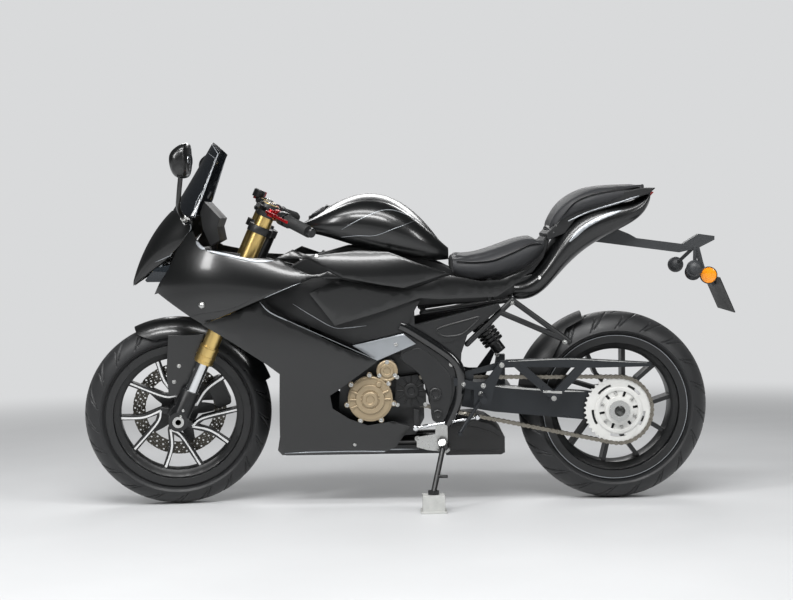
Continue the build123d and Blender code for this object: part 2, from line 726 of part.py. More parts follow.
def strip(path, halves):
    """Polygon round a bent centre line, as wide to each side as its halves say."""
    left = []
    right = []
    for i, (x, y) in enumerate(path):
        before = path[max(i - 1, 0)]
        after = path[min(i + 1, len(path) - 1)]
        run = Vector(after[0] - before[0], after[1] - before[1]).normalized()
        left.append((x - run.Y * halves[i], y + run.X * halves[i]))
        right.append((x + run.Y * halves[i], y - run.X * halves[i]))
    return left + right[::-1]


def polar(radius, turn):
    """Point at a radius, turned clockwise from the rear as seen from the left."""
    return (radius * math.cos(math.radians(turn)), -radius * math.sin(math.radians(turn)))


def curved_wall(sections, wall):
    """Loft a wall from upright sections: station, then low, middle and high points of its outer face."""
    bands = []
    for station, low, middle, high in sections:
        inner = [(y + math.copysign(wall, -y), z) for y, z in (low, middle, high)]
        with BuildSketch(Plane.YZ.offset(station)) as band:
            with BuildLine():
                ThreePointArc(low, middle, high)
                Line(high, inner[2])
                ThreePointArc(inner[2], inner[1], inner[0])
                Line(inner[0], low)
            make_face()
        bands.append(band.sketch)
    loft(bands)


def domed_body(sections):
    """Loft a closed body from upright sections: station, bottom, side and top halves and heights."""
    slices = []
    for station, bottom, side, top, crown in sections:
        with BuildSketch(Plane.YZ.offset(station)) as piece:
            with BuildLine():
                Line((-bottom[0], bottom[1]), bottom)
                ThreePointArc(bottom, side, top)
                ThreePointArc(top, (0, crown), (-top[0], top[1]))
                ThreePointArc((-top[0], top[1]), (-side[0], side[1]), (-bottom[0], bottom[1]))
            make_face()
        slices.append(piece.sketch)
    loft(slices)


def trim_to(points):
    """Keep only what lies inside a side outline."""
    slab(points, REACH, -REACH, Mode.INTERSECT)


def body_sections(shares, corner, size):
    """Sections of a panel from shares of its length, half width and height."""
    length, half, height = size
    rows = []
    for station, *pairs in shares:
        points = [(-y * half, corner[1] + z * height) for y, z in pairs]
        rows.append((corner[0] + station * length, *points))
    return rows


# Wheels, drawn about their own axles

def barrel(half):
    """Rim barrel with its lips, bead seats and well."""
    seat = half - LIP_WALL
    step = seat - BEAD_WIDTH
    well = step - WELL_RUN
    floor = BEAD_RADIUS - WELL_DEPTH
    outer = [(-half, LIP_RADIUS), (-seat, LIP_RADIUS), (-seat, BEAD_RADIUS), (-step, BEAD_RADIUS),
             (-well, floor), (well, floor), (step, BEAD_RADIUS), (seat, BEAD_RADIUS),
             (seat, LIP_RADIUS), (half, LIP_RADIUS)]
    inner = [(half, BEAD_RADIUS - BARREL_WALL), (step, BEAD_RADIUS - BARREL_WALL),
             (well, floor - BARREL_WALL), (-well, floor - BARREL_WALL),
             (-step, BEAD_RADIUS - BARREL_WALL), (-half, BEAD_RADIUS - BARREL_WALL)]
    with BuildSketch(Plane.YZ) as profile:
        with BuildLine():
            Polyline(*outer, *inner, close=True)
        make_face()
    revolve(profile.sketch, axis=Axis.Y)


def carcass(radius, half, crown, rim_half):
    """Tyre as a hollow ring that sits between the rim's lips."""
    seat = rim_half - LIP_WALL - SEAT_GAP
    foot = BEAD_RADIUS + SEAT_GAP
    shoulder = radius - crown + math.sqrt(crown**2 - half**2)
    knee = LIP_RADIUS + LIP_GAP
    inside = half - TYRE_WALL
    with BuildSketch(Plane.YZ) as profile:
        with BuildLine():
            Polyline((TYRE_WALL - seat, foot), (-seat, foot), (-seat, knee), (-half, shoulder))
            ThreePointArc((-half, shoulder), (0, radius), (half, shoulder))
            Polyline((half, shoulder), (seat, knee), (seat, foot), (seat - TYRE_WALL, foot),
                     (seat - TYRE_WALL, knee), (inside, shoulder))
            ThreePointArc((inside, shoulder), (0, radius - TYRE_WALL), (-inside, shoulder))
            Polyline((-inside, shoulder), (TYRE_WALL - seat, knee), (TYRE_WALL - seat, foot))
        make_face()
    revolve(profile.sketch, axis=Axis.Y)


def paired_arms(first, half, depth, middle):
    """Five pairs of wheel arms, each pair forked near the hub."""
    for pair in range(ARM_COUNT):
        turn = first + pair * 360 / ARM_COUNT
        apex = polar(APEX_RADIUS, turn + APEX_TURN)
        end = BEAD_RADIUS - WELL_DEPTH - BARREL_WALL + ARM_ROOT
        root = polar(HUB_RADIUS - ARM_ROOT, turn + APEX_TURN)
        flared = [root, apex, polar(FLARED_KNEE, turn + FLARED_TURN), polar(end, turn)]
        plain = [root, apex, polar(PLAIN_KNEE, turn - PLAIN_TURN), polar(end, turn - PAIR_SPREAD)]
        for path in (flared, plain):
            blade = strip(path, [half * share for share in ARM_SHARES])
            slab(blade, middle + depth / 2, middle - depth / 2)


with BuildPart() as front_tyre:
    carcass(FRONT_RADIUS, FRONT_TYRE_HALF, FRONT_CROWN, FRONT_RIM_HALF)

with BuildPart() as front_rim:
    barrel(FRONT_RIM_HALF)
    paired_arms(FRONT_ARM_TURN, ARM_WIDTH / 2, ARM_DEPTH, 0)
    disc_slab((0, 0), HUB_RADIUS, FRONT_HUB_RIGHT, -FRONT_HUB_LEFT)
    disc_slab((0, 0), FRONT_AXLE_RADIUS + PIN_GAP, FRONT_HUB_RIGHT, -FRONT_HUB_LEFT, mode=Mode.SUBTRACT)

with BuildPart() as front_disc:
    disc_slab((0, 0), DISC_RADIUS, DISC_PLACE + DISC_THICK / 2, DISC_PLACE - DISC_THICK / 2, DISC_INNER)
    disc_slab((0, 0), SPIDER_RADIUS, FRONT_HUB_RIGHT + SPIDER_THICK, FRONT_HUB_RIGHT, SPIDER_BORE)
    for arm in range(SPIDER_ARMS):
        turn = arm * 360 / SPIDER_ARMS
        root = polar(SPIDER_RADIUS - SPIDER_THICK, turn)
        reach = [root, polar(DISC_INNER + SPIDER_THICK, turn + SPIDER_SWEEP)]
        slab(strip(reach, [SPIDER_ARM / 2] * 2), FRONT_HUB_RIGHT + SPIDER_THICK, FRONT_HUB_RIGHT)

with BuildPart() as rear_tyre:
    carcass(REAR_RADIUS, REAR_TYRE_HALF, REAR_CROWN, REAR_RIM_HALF)

with BuildPart() as rear_rim:
    barrel(REAR_RIM_HALF)
    hub_middle = (REAR_HUB_RIGHT + REAR_HUB_LEFT) / 2
    paired_arms(REAR_ARM_TURN, REAR_ARM_WIDTH / 2, REAR_HUB_RIGHT - REAR_HUB_LEFT, hub_middle)
    disc_slab((0, 0), REAR_HUB_RADIUS, REAR_HUB_RIGHT, REAR_HUB_LEFT)
    ring = REAR_DISC_INNER + SPIDER_THICK
    disc_slab((0, 0), ring, REAR_HUB_LEFT, REAR_HUB_LEFT - DISC_THICK, REAR_DISC_BORE)
    disc_slab((0, 0), REAR_AXLE_RADIUS + PIN_GAP, REAR_HUB_RIGHT, REAR_HUB_LEFT, mode=Mode.SUBTRACT)

with BuildPart() as rear_axle:
    disc_slab((0, 0), REAR_AXLE_RADIUS, REAR_HUB_RIGHT, CHAIN_PLACE - SPROCKET_HUB)
    disc_slab((0, 0), REAR_NUT_RADIUS, REAR_HUB_RIGHT + NUT_THICK, REAR_HUB_RIGHT)
    disc_slab((0, 0), REAR_NUT_RADIUS, CHAIN_PLACE - SPROCKET_HUB, CHAIN_PLACE - SPROCKET_HUB - NUT_THICK)
    disc_slab((0, 0), REAR_AXLE_BORE, REACH, -REACH, mode=Mode.SUBTRACT)


def pitch_radius(teeth):
    """Radius on which a chain's rollers lie round a sprocket."""
    return CHAIN_PITCH / 2 / math.sin(math.pi / teeth)


def toothed(teeth):
    """Outline of a sprocket, with a root, flanks and a tip for each tooth."""
    middle = pitch_radius(teeth)
    points = []
    for tooth in range(teeth):
        for share, radius in TOOTH_SHARES:
            turn = (tooth + share) * 360 / teeth
            points.append(polar(middle + radius * TOOTH_HEIGHT, turn))
    return points


with BuildPart() as rear_sprocket:
    slab(toothed(REAR_TEETH), CHAIN_PLACE + TOOTH_THICK / 2, CHAIN_PLACE - TOOTH_THICK / 2)
    disc_slab((0, 0), SPROCKET_HUB_RADIUS, CARRIER_LEFT - HUB_FACE_GAP, CHAIN_PLACE - SPROCKET_HUB)
    for slot in range(SLOT_COUNT):
        middle_turn = SLOT_TURN + slot * 360 / SLOT_COUNT
        arc = [polar(SLOT_RADIUS, middle_turn + share * SLOT_SPAN) for share in SLOT_SPAN_SHARES]
        cut = strip(arc, [SLOT_WIDTH / 2] * len(arc))
        slab(cut, CHAIN_PLACE + OVERRUN, CHAIN_PLACE - OVERRUN, Mode.SUBTRACT)
    disc_slab((0, 0), REAR_AXLE_RADIUS + PIN_GAP, REACH, -REACH, mode=Mode.SUBTRACT)

# Fork and steering, drawn along the leg with the axle at the origin

with BuildPart() as fork_tubes:
    for side in (-1, 1):
        with BuildSketch(Plane.XY.offset(TUBE_BOTTOM)):
            with Locations((0, side * LEG_SPACING)):
                Circle(TUBE_RADIUS)
                Circle(TUBE_RADIUS - TUBE_WALL, mode=Mode.SUBTRACT)
        extrude(amount=TUBE_TOP - TUBE_BOTTOM)
        with BuildSketch(Plane.XY.offset(TUBE_BOTTOM)):
            with Locations((0, side * LEG_SPACING)):
                Circle(COLLAR_RADIUS)
                Circle(STANCHION_RADIUS + SEAT_GAP, mode=Mode.SUBTRACT)
        extrude(amount=COLLAR_HEIGHT)
        with BuildSketch(Plane.XY.offset(TUBE_TOP)):
            with Locations((0, side * LEG_SPACING)):
                Circle(TUBE_RADIUS)
        extrude(amount=-CAP_HEIGHT)

with BuildPart() as stanchions:
    for side in (-1, 1):
        with BuildSketch(Plane.XY.offset(BOTTOM_TOP - STANCHION_SEAT)):
            with Locations((0, side * LEG_SPACING)):
                Circle(STANCHION_RADIUS)
        extrude(amount=TUBE_BOTTOM + COLLAR_HEIGHT - BOTTOM_TOP + STANCHION_SEAT)

with BuildPart() as fork_bottoms:
    for side in (-1, 1):
        inner = side * LEG_SPACING
        with BuildSketch(Plane.XY):
            with Locations((0, inner)):
                Circle(BOTTOM_RADIUS)
        extrude(amount=BOTTOM_TOP)
        half = BOTTOM_BLOCK_DEPTH / 2
        disc_slab((0, 0), BOTTOM_BLOCK_WIDTH / 2, inner + half, inner - half)
    lug = outline(LUG_OUTLINE_SHARES, (0, 0), LUG_LENGTH, BOTTOM_TOP)
    slab(lug, DISC_PLACE + CALIPER_HALF_DEPTH + LUG_THICK, DISC_PLACE + CALIPER_HALF_DEPTH)
    with BuildSketch(Plane.XY.offset(BOTTOM_TOP - STANCHION_SEAT)):
        with Locations((0, -LEG_SPACING), (0, LEG_SPACING)):
            Circle(STANCHION_RADIUS + PIN_GAP)
    extrude(amount=STANCHION_SEAT * 2, mode=Mode.SUBTRACT)
    disc_slab((0, 0), FRONT_AXLE_RADIUS + PIN_GAP, REACH, -REACH, mode=Mode.SUBTRACT)

with BuildPart() as front_axle:
    inside = LEG_SPACING - BOTTOM_BLOCK_DEPTH / 2 - RUNNING_GAP
    outside = LEG_SPACING + BOTTOM_BLOCK_DEPTH / 2
    disc_slab((0, 0), FRONT_AXLE_RADIUS, outside, -outside)
    disc_slab((0, 0), SPACER_RADIUS, inside, FRONT_HUB_RIGHT + SPIDER_THICK + RUNNING_GAP)
    disc_slab((0, 0), SPACER_RADIUS, -FRONT_HUB_LEFT - RUNNING_GAP, -inside)
    disc_slab((0, 0), AXLE_HEAD_RADIUS, -outside, -outside - AXLE_HEAD)
    disc_slab((0, 0), AXLE_HEAD_RADIUS, outside + AXLE_HEAD, outside)
    disc_slab((0, 0), FRONT_AXLE_BORE, REACH, -REACH, mode=Mode.SUBTRACT)

with BuildPart() as triple_clamps:
    for level, thick in ((CLAMP_LOWER, CLAMP_THICK_LOWER), (CLAMP_UPPER, CLAMP_THICK_UPPER)):
        with BuildSketch(Plane.XY.offset(level)):
            with BuildLine():
                Polyline((-CLAMP_WALL, -LEG_SPACING), (FORK_OFFSET - STEM_EYE, 0), (-CLAMP_WALL, LEG_SPACING),
                         (CLAMP_WALL, LEG_SPACING), (FORK_OFFSET + STEM_EYE, STEM_EYE),
                         (FORK_OFFSET + STEM_EYE, -STEM_EYE), (CLAMP_WALL, -LEG_SPACING), close=True)
            make_face()
            with Locations((0, -LEG_SPACING), (0, LEG_SPACING)):
                Circle(TUBE_RADIUS + CLAMP_WALL)
            with Locations((FORK_OFFSET, 0)):
                Circle(STEM_EYE)
            with Locations((0, -LEG_SPACING), (0, LEG_SPACING)):
                Circle(TUBE_RADIUS + PIN_GAP, mode=Mode.SUBTRACT)
        extrude(amount=thick)
    with BuildSketch(Plane.XY.offset(CLAMP_LOWER)):
        with Locations((FORK_OFFSET, 0)):
            Circle(STEM_RADIUS)
    extrude(amount=CLAMP_UPPER + CLAMP_THICK_UPPER + STEM_NUT - CLAMP_LOWER)

sweep_run = math.radians(BAR_SWEEP)
bar_end = (BAR_LENGTH * math.sin(sweep_run), LEG_SPACING + BAR_LENGTH * math.cos(sweep_run))


def along_bar(distance, side, lift=0, ahead=0):
    """Point on a handlebar, at a distance from its clamp, lifted or moved ahead of it."""
    x = distance * math.sin(sweep_run) - ahead * math.cos(sweep_run)
    y = LEG_SPACING + distance * math.cos(sweep_run) + ahead * math.sin(sweep_run)
    return (x, side * y, BAR_LEVEL + lift)


with BuildPart() as handlebars:
    for side in (-1, 1):
        with BuildSketch(Plane.XY.offset(BAR_LEVEL - BAR_CLAMP_HEIGHT / 2)):
            with Locations((0, side * LEG_SPACING)):
                Circle(TUBE_RADIUS + BAR_CLAMP_WALL)
        extrude(amount=BAR_CLAMP_HEIGHT)
        rod(along_bar(0, side), along_bar(BAR_LENGTH, side), BAR_RADIUS)
        switch_start = BAR_LENGTH - GRIP_LENGTH - GRIP_INSET - SWITCH_LENGTH
        switch_end = switch_start + SWITCH_LENGTH - GRIP_INSET
        rod(along_bar(switch_start, side), along_bar(switch_end, side), SWITCH_RADIUS)
        with BuildSketch(Plane.XY.offset(BAR_LEVEL - BAR_CLAMP_HEIGHT / 2)):
            with Locations((0, side * LEG_SPACING)):
                Circle(TUBE_RADIUS + PIN_GAP)
        extrude(amount=BAR_CLAMP_HEIGHT, mode=Mode.SUBTRACT)
        bore_start = along_bar(BAR_LENGTH - BAR_BORE_DEPTH, side)
        rod(bore_start, along_bar(BAR_LENGTH + OVERRUN, side), BAR_BORE, Mode.SUBTRACT)

with BuildPart() as grips:
    for side in (-1, 1):
        start = BAR_LENGTH - GRIP_LENGTH - GRIP_INSET
        rod(along_bar(start, side), along_bar(start + GRIP_LENGTH, side), GRIP_RADIUS)
        rod(along_bar(0, side), along_bar(BAR_LENGTH, side), BAR_RADIUS + PIN_GAP, Mode.SUBTRACT)

with BuildPart() as levers:
    perch = BAR_LENGTH - GRIP_LENGTH - GRIP_INSET - SWITCH_LENGTH - PERCH_LENGTH
    middle = perch + PERCH_LENGTH / 2
    perch_end = along_bar(perch + PERCH_LENGTH - GRIP_INSET, 1)
    rod(along_bar(perch, 1), perch_end, SWITCH_RADIUS - LEVER_THICK / 2)
    rod(along_bar(0, 1), along_bar(BAR_LENGTH, 1), BAR_RADIUS + PIN_GAP, Mode.SUBTRACT)
    knuckle = along_bar(middle, 1, ahead=LEVER_REACH / 2)
    rod(along_bar(middle, 1, ahead=BAR_RADIUS + LEVER_THICK / 2), knuckle, LEVER_THICK)
    x, y, z = knuckle
    rod((x, y, z - LEVER_BOSS), (x, y, z + LEVER_BOSS), LEVER_BOSS)
    elbow = along_bar(perch + PERCH_LENGTH, 1, ahead=LEVER_REACH)
    tip = along_bar(perch + LEVER_LENGTH, 1, ahead=LEVER_REACH)
    bent_tube([knuckle, elbow, tip], LEVER_BEND, LEVER_THICK / 2)
    mirror(about=Plane.XZ)
    cup = along_bar(middle, 1, LEVER_THICK, RESERVOIR_RADIUS + BAR_RADIUS + PERCH_LENGTH)
    rod(cup, (cup[0], cup[1], cup[2] + RESERVOIR_HEIGHT), RESERVOIR_RADIUS)
    arm_end = (cup[0], cup[1], cup[2] + RESERVOIR_HEIGHT / 2)
    rod(along_bar(middle, 1, LEVER_BOSS / 2, LEVER_REACH / 2), arm_end, CUP_ARM_RADIUS)

# Fender and caliper, drawn about the front axle without the rake

def arch(plane, half, side, crown):
    """Thin arched section of a fender, open below."""
    with BuildSketch(plane) as profile:
        with BuildLine():
            ThreePointArc((-half, side), (0, crown), (half, side))
            Line((half, side), (half - FENDER_WALL, side))
            ThreePointArc((half - FENDER_WALL, side), (0, crown - FENDER_WALL), (FENDER_WALL - half, side))
            Line((FENDER_WALL - half, side), (-half, side))
        make_face()
    return profile.sketch


with BuildPart() as front_fender:
    for heading, swing in ((1, FENDER_REAR_SWEEP), (-1, FENDER_FRONT_SWEEP)):
        profile = arch(Plane.YZ, FENDER_HALF, FENDER_SIDE, FENDER_CROWN)
        revolve(profile, axis=Axis((0, 0, 0), (0, heading, 0)), revolution_arc=swing)
    trim_to(outline(FENDER_OUTLINE_SHARES, (-FENDER_LENGTH / 2, 0), FENDER_LENGTH, FENDER_TOP))
    for side in (-1, 1):
        plate = outline(STAY_OUTLINE_SHARES, (-STAY_LENGTH / 2, STAY_BOTTOM), STAY_LENGTH, STAY_HEIGHT)
        place = side * (LEG_SPACING - BOTTOM_RADIUS - RUNNING_GAP - STAY_THICK / 2)
        slab(plate, place + STAY_THICK / 2, place - STAY_THICK / 2)

with BuildPart() as front_caliper:
    around = polar(CALIPER_RADIUS, -CALIPER_ANGLE)
    with BuildSketch(Plane.XZ.offset(-DISC_PLACE - CALIPER_HALF_DEPTH)):
        with Locations(Location((around[0], around[1], 0), (0, 0, CALIPER_ANGLE + 90))):
            RectangleRounded(CALIPER_LENGTH, CALIPER_WIDTH, CALIPER_CORNER)
    extrude(amount=CALIPER_HALF_DEPTH * 2 - CALIPER_INSET)
    disc_slab((0, 0), DISC_RADIUS + DISC_THICK / 2, DISC_PLACE + CALIPER_THROAT / 2,
              DISC_PLACE - CALIPER_THROAT / 2, mode=Mode.SUBTRACT)

# Side stand and its block

d0 = Vector(-STAND_FORWARD, -STAND_OUT, -STAND_DOWN).normalized()
d1 = Vector(FOLD_REAR, -FOLD_OUT, FOLD_UP).normalized()
hinge = d0.cross(d1).normalized()
pivot = Vector(STAND_X, STAND_Y, STAND_Z)


def stand_point(along, down=0, ahead=0):
    """Point by its place along the hinge, down the leg and ahead of it."""
    across = hinge.cross(d0)
    return tuple(pivot + hinge * along + d0 * down + across * ahead)


up = Vector(0, math.sin(lean), math.cos(lean))
foot_centre = Vector(*stand_point(0, STAND_LEG))
foot_bottom = foot_centre - up * STAND_FOOT_THICK

with BuildPart() as side_stand:
    rod(stand_point(-STAND_EYE_LENGTH / 2), stand_point(STAND_EYE_LENGTH / 2), STAND_EYE_RADIUS)
    rod(stand_point(0), stand_point(0, STAND_LEG), STAND_LEG_RADIUS)
    rod(tuple(foot_centre + up * STAND_FOOT_THICK), tuple(foot_bottom), STAND_FOOT_RADIUS)
    rod(stand_point(0, TANG_PLACE), stand_point(0, TANG_PLACE, TANG_LENGTH), TANG_RADIUS)
    rod(stand_point(-REACH), stand_point(REACH), STAND_BOLT + PIN_GAP, Mode.SUBTRACT)

with BuildPart() as stand_bracket:
    inner_face = STAND_EYE_LENGTH / 2 + RUNNING_GAP
    rod(stand_point(-inner_face - STAND_EAR), stand_point(-inner_face), STAND_EYE_RADIUS)
    rod(stand_point(inner_face), stand_point(inner_face + STAND_HEAD), STAND_EYE_RADIUS - STAND_HEAD / 2)
    rod(stand_point(-inner_face - STAND_EAR), stand_point(inner_face + STAND_HEAD), STAND_BOLT)
    corner = (BRACKET_X, PIVOT_PLATE_Z - BRACKET_HEIGHT)
    plate = outline(BRACKET_OUTLINE_SHARES, corner, BRACKET_LENGTH, BRACKET_HEIGHT)
    slab(plate, BRACKET_LEFT + BRACKET_THICK, BRACKET_LEFT)

# The block stands level on the ground, under the foot
ground = -REAR_RADIUS * math.cos(lean) - REAR_CROWN * (1 - math.cos(lean))
foot_place = (PARKED * Pos(*tuple(foot_bottom))).position
block_height = foot_place.Z - RUNNING_GAP - ground

with BuildPart() as stand_block:
    with BuildSketch(Plane.XY.offset(ground)):
        with Locations((foot_place.X, foot_place.Y)):
            Rectangle(BLOCK_LENGTH, BLOCK_DEPTH)
    extrude(amount=block_height)
    with BuildSketch(Plane.XY.offset(ground)):
        with Locations((foot_place.X, foot_place.Y)):
            Rectangle(BLOCK_LENGTH + BLOCK_FLANGE * 2, BLOCK_DEPTH + BLOCK_FLANGE * 2)
    extrude(amount=BLOCK_FLANGE_EDGE)

# Engine and exhaust

with BuildPart() as engine_block:
    corner = (ENGINE_X, ENGINE_Z)
    slab(outline(CASE_OUTLINE_SHARES, corner, ENGINE_LENGTH, ENGINE_HEIGHT), CASE_HALF, -CASE_HALF)
    cylinders = outline(CYLINDER_OUTLINE_SHARES, corner, ENGINE_LENGTH, ENGINE_HEIGHT)
    slab(cylinders, CYLINDER_HALF, -CYLINDER_HALF)
    disc_slab((STATOR_X, STATOR_Z), STATOR_RADIUS, COVER_SEAT, -COVER_SEAT)
    disc_slab((PUMP_X, PUMP_Z), PUMP_RADIUS, 0, -COVER_SEAT)
    lug_reach = PLATE_INNER - RUNNING_GAP
    disc_slab((ENGINE_LUG_X, ENGINE_LUG_Z), ENGINE_LUG_RADIUS, lug_reach, -lug_reach)
    disc_slab((OUTPUT_X, OUTPUT_Z), SHAFT_RADIUS, 0, CHAIN_PLACE - TOOTH_THICK)
    half = TOOTH_THICK / 2
    disc_slab((OUTPUT_X, OUTPUT_Z), FRONT_SPROCKET, CHAIN_PLACE + half, CHAIN_PLACE - half)

with BuildPart() as engine_covers:
    face = -COVER_SEAT
    disc_slab((STATOR_X, STATOR_Z), STATOR_FLANGE, face, -COVER_FACE + COVER_STEP)
    disc_slab((STATOR_X, STATOR_Z), STATOR_RADIUS, face, -COVER_FACE)
    disc_slab((STATOR_X, STATOR_Z), STATOR_BOSS, face, -COVER_FACE - COVER_STEP)
    disc_slab((PUMP_X, PUMP_Z), PUMP_RADIUS, face, -COVER_FACE + COVER_STEP)
    disc_slab((STATOR_X, STATOR_Z), STATOR_FLANGE, COVER_FACE, -face)

with BuildPart() as sprocket_guard:
    corner = (OUTPUT_X - GUARD_LENGTH / 2, OUTPUT_Z - GUARD_HEIGHT / 2)
    slab(outline(GUARD_OUTLINE_SHARES, corner, GUARD_LENGTH, GUARD_HEIGHT), GUARD_INNER, GUARD_OUTER)
    for place in outline(GUARD_SEAT_SHARES, corner, GUARD_LENGTH, GUARD_HEIGHT):
        disc_slab(place, GUARD_SEAT_RADIUS, -CASE_HALF - RUNNING_GAP, GUARD_INNER)

with BuildPart() as exhaust:
    centre_line = outline(PIPE_ROUTE_SHARES, (PIPE_X, PIPE_Z), PIPE_LENGTH, PIPE_HEIGHT)
    for pipe in (-1, 0, 1):
        route = [(x, pipe * PIPE_SPACING, z) for x, z in centre_line]
        bent_tube(route, PIPE_BEND, PIPE_RADIUS)
    corner = (MUFFLER_X, MUFFLER_Z)
    box = outline(MUFFLER_OUTLINE_SHARES, corner, MUFFLER_LENGTH, MUFFLER_HEIGHT)
    slab(box, MUFFLER_HALF, -MUFFLER_HALF)

tilt = math.radians(RADIATOR_TILT)
radiator_foot = Vector(RADIATOR_X, 0, RADIATOR_Z)
radiator_up = Vector(math.sin(tilt), 0, math.cos(tilt))

with BuildPart() as radiator:
    across = (math.cos(tilt), 0, -math.sin(tilt))
    with BuildSketch(Plane(origin=radiator_foot, x_dir=across, z_dir=radiator_up)):
        Rectangle(RADIATOR_THICK, RADIATOR_HALF * 2)
    extrude(amount=RADIATOR_HEIGHT)

# Frame and swingarm

spar_rows = []
for along, rise, inner, wide, tall in SPAR_SECTION_SHARES:
    place = (SPAR_X + along * SPAR_LENGTH, SPAR_Z + rise * SPAR_RISE, inner * PLATE_INNER)
    spar_rows.append((*place, wide * SPAR_WIDTH, tall * SPAR_HEIGHT))


def spar_face(x):
    """How far out the spar's outer face lies at a place along its rear stretch."""
    front, rear = spar_rows[-2:]
    share = (x - front[0]) / (rear[0] - front[0])
    return (front[2] + front[3]) * (1 - share) + (rear[2] + rear[3]) * share


with BuildPart() as main_frame:
    for side in (-1, 1):
        for x, z, inner, wide, tall in spar_rows:
            with BuildSketch(Plane.YZ.offset(x)):
                with Locations((side * (inner + wide / 2), z + tall / 2)):
                    Rectangle(wide, tall)
        loft(ruled=True)
        corner = (PIVOT_PLATE_X, PIVOT_PLATE_Z)
        plate = outline(PIVOT_OUTLINE_SHARES, corner, PIVOT_PLATE_LENGTH, PIVOT_PLATE_HEIGHT)
        faces = (side * PLATE_INNER, side * PLATE_OUTER)
        slab(plate, max(faces), min(faces))
    head_low = RAKED * Pos(FORK_OFFSET, 0, CLAMP_LOWER + CLAMP_THICK_LOWER + HEAD_GAP)
    head_high = RAKED * Pos(FORK_OFFSET, 0, CLAMP_UPPER - HEAD_GAP)
    rod(tuple(head_low.position), tuple(head_high.position), HEAD_RADIUS)
    head = tuple((RAKED * Pos(FORK_OFFSET, 0, STAY_LEVEL)).position)
    rest = outline(UPPER_SEAT_SHARES, (UPPER_X, UPPER_Z), UPPER_LENGTH, UPPER_HEIGHT)[0]
    lamp_rest = outline(LAMP_SEAT_SHARES, (LAMP_X, LAMP_Z), LAMP_LENGTH, LAMP_HEIGHT)[0]
    rod(head, (rest[0], 0, rest[1]), STAY_RADIUS)
    rod((rest[0], 0, rest[1]), (lamp_rest[0], 0, lamp_rest[1]), STAY_RADIUS)
    tank_rest = (TANK_REST_X, TANK_REST_Z)
    for (x, z), reach in ((rest, FAIRING_FACE), (lamp_rest, LAMP_FACE), (tank_rest, PLATE_INNER)):
        rod((x, -reach, z), (x, reach, z), STAY_RADIUS)
    rod(tuple(head_low.position), tuple(head_high.position), STEM_RADIUS + PIN_GAP, Mode.SUBTRACT)
    for side in (-1, 1):
        low = radiator_foot + radiator_up * (RADIATOR_HEIGHT + RUNNING_GAP)
        low += Vector(0, side * HANGER_PLACE, 0)
        rod(tuple(low), tuple(low + radiator_up * HANGER_REACH), HANGER_RADIUS)
    disc_slab((PIVOT_X, PIVOT_Z), PIVOT_RADIUS, PLATE_OUTER, -PLATE_OUTER)
    mount = Vector(SHOCK_HIGH_X, 0, SHOCK_HIGH_Z)
    shock_run = (Vector(SHOCK_LOW_X, 0, SHOCK_LOW_Z) - mount).normalized()
    cross = mount - shock_run * (SHOCK_BAR + RUNNING_GAP)
    rod((cross.X, -PLATE_INNER, cross.Z), (cross.X, PLATE_INNER, cross.Z), SHOCK_BAR)

with BuildPart() as swingarm:
    slab(outline(BEAM_OUTLINE_SHARES, (PIVOT_X, PIVOT_Z), BEAM_LENGTH, BEAM_HEIGHT), BEAM_RIGHT, BEAM_LEFT)
    disc_slab((WHEELBASE, REAR_RADIUS), CARRIER_RADIUS, CARRIER_RIGHT, CARRIER_LEFT)
    disc_slab((PIVOT_X, PIVOT_Z), PIVOT_TUBE, PIVOT_HALF, -PIVOT_HALF)
    bridge = outline(BRIDGE_OUTLINE_SHARES, (PIVOT_X, PIVOT_Z), BEAM_LENGTH, BEAM_HEIGHT)
    slab(bridge, -BEAM_RIGHT, BEAM_RIGHT)
    slab(outline(SHORT_ARM_SHARES, (PIVOT_X, PIVOT_Z), BEAM_LENGTH, BEAM_HEIGHT), -BEAM_RIGHT, BRIDGE_HALF)
    slab(outline(CLEVIS_SHARES, (PIVOT_X, PIVOT_Z), BEAM_LENGTH, BEAM_HEIGHT), CLEVIS_HALF, -CLEVIS_HALF)
    corner = (TRUSS_X, TRUSS_Z)
    slab(outline(TRUSS_RAIL_SHARES, corner, TRUSS_LENGTH, TRUSS_HEIGHT), TRUSS_RIGHT, TRUSS_LEFT)
    for shares in TRUSS_LEG_SHARES:
        leg = strip(outline(shares, corner, TRUSS_LENGTH, TRUSS_HEIGHT), [TRUSS_WIDTH / 2] * 2)
        slab(leg, TRUSS_RIGHT, TRUSS_LEFT)
    for boss in outline(TRUSS_BOSS_SHARES, corner, TRUSS_LENGTH, TRUSS_HEIGHT):
        disc_slab(boss, TRUSS_BOSS, BEAM_LEFT, TRUSS_LEFT)
    disc_slab((PIVOT_X, PIVOT_Z), PIVOT_RADIUS + PIN_GAP, REACH, -REACH, mode=Mode.SUBTRACT)
    disc_slab((WHEELBASE, REAR_RADIUS), REAR_AXLE_RADIUS + PIN_GAP, REACH, -REACH, mode=Mode.SUBTRACT)

with BuildPart() as shock_absorber:
    high = Vector(SHOCK_HIGH_X, 0, SHOCK_HIGH_Z)
    low = Vector(SHOCK_LOW_X, 0, SHOCK_LOW_Z)
    run = (low - high).normalized()
    rod(tuple(high), tuple(low), SHOCK_RADIUS)
    for turn in range(COIL_COUNT):
        at = high + run * (COIL_START + turn * COIL_PITCH)
        with BuildSketch(Plane(origin=at, z_dir=run)):
            Circle(COIL_RADIUS)
        extrude(amount=COIL_WIRE)

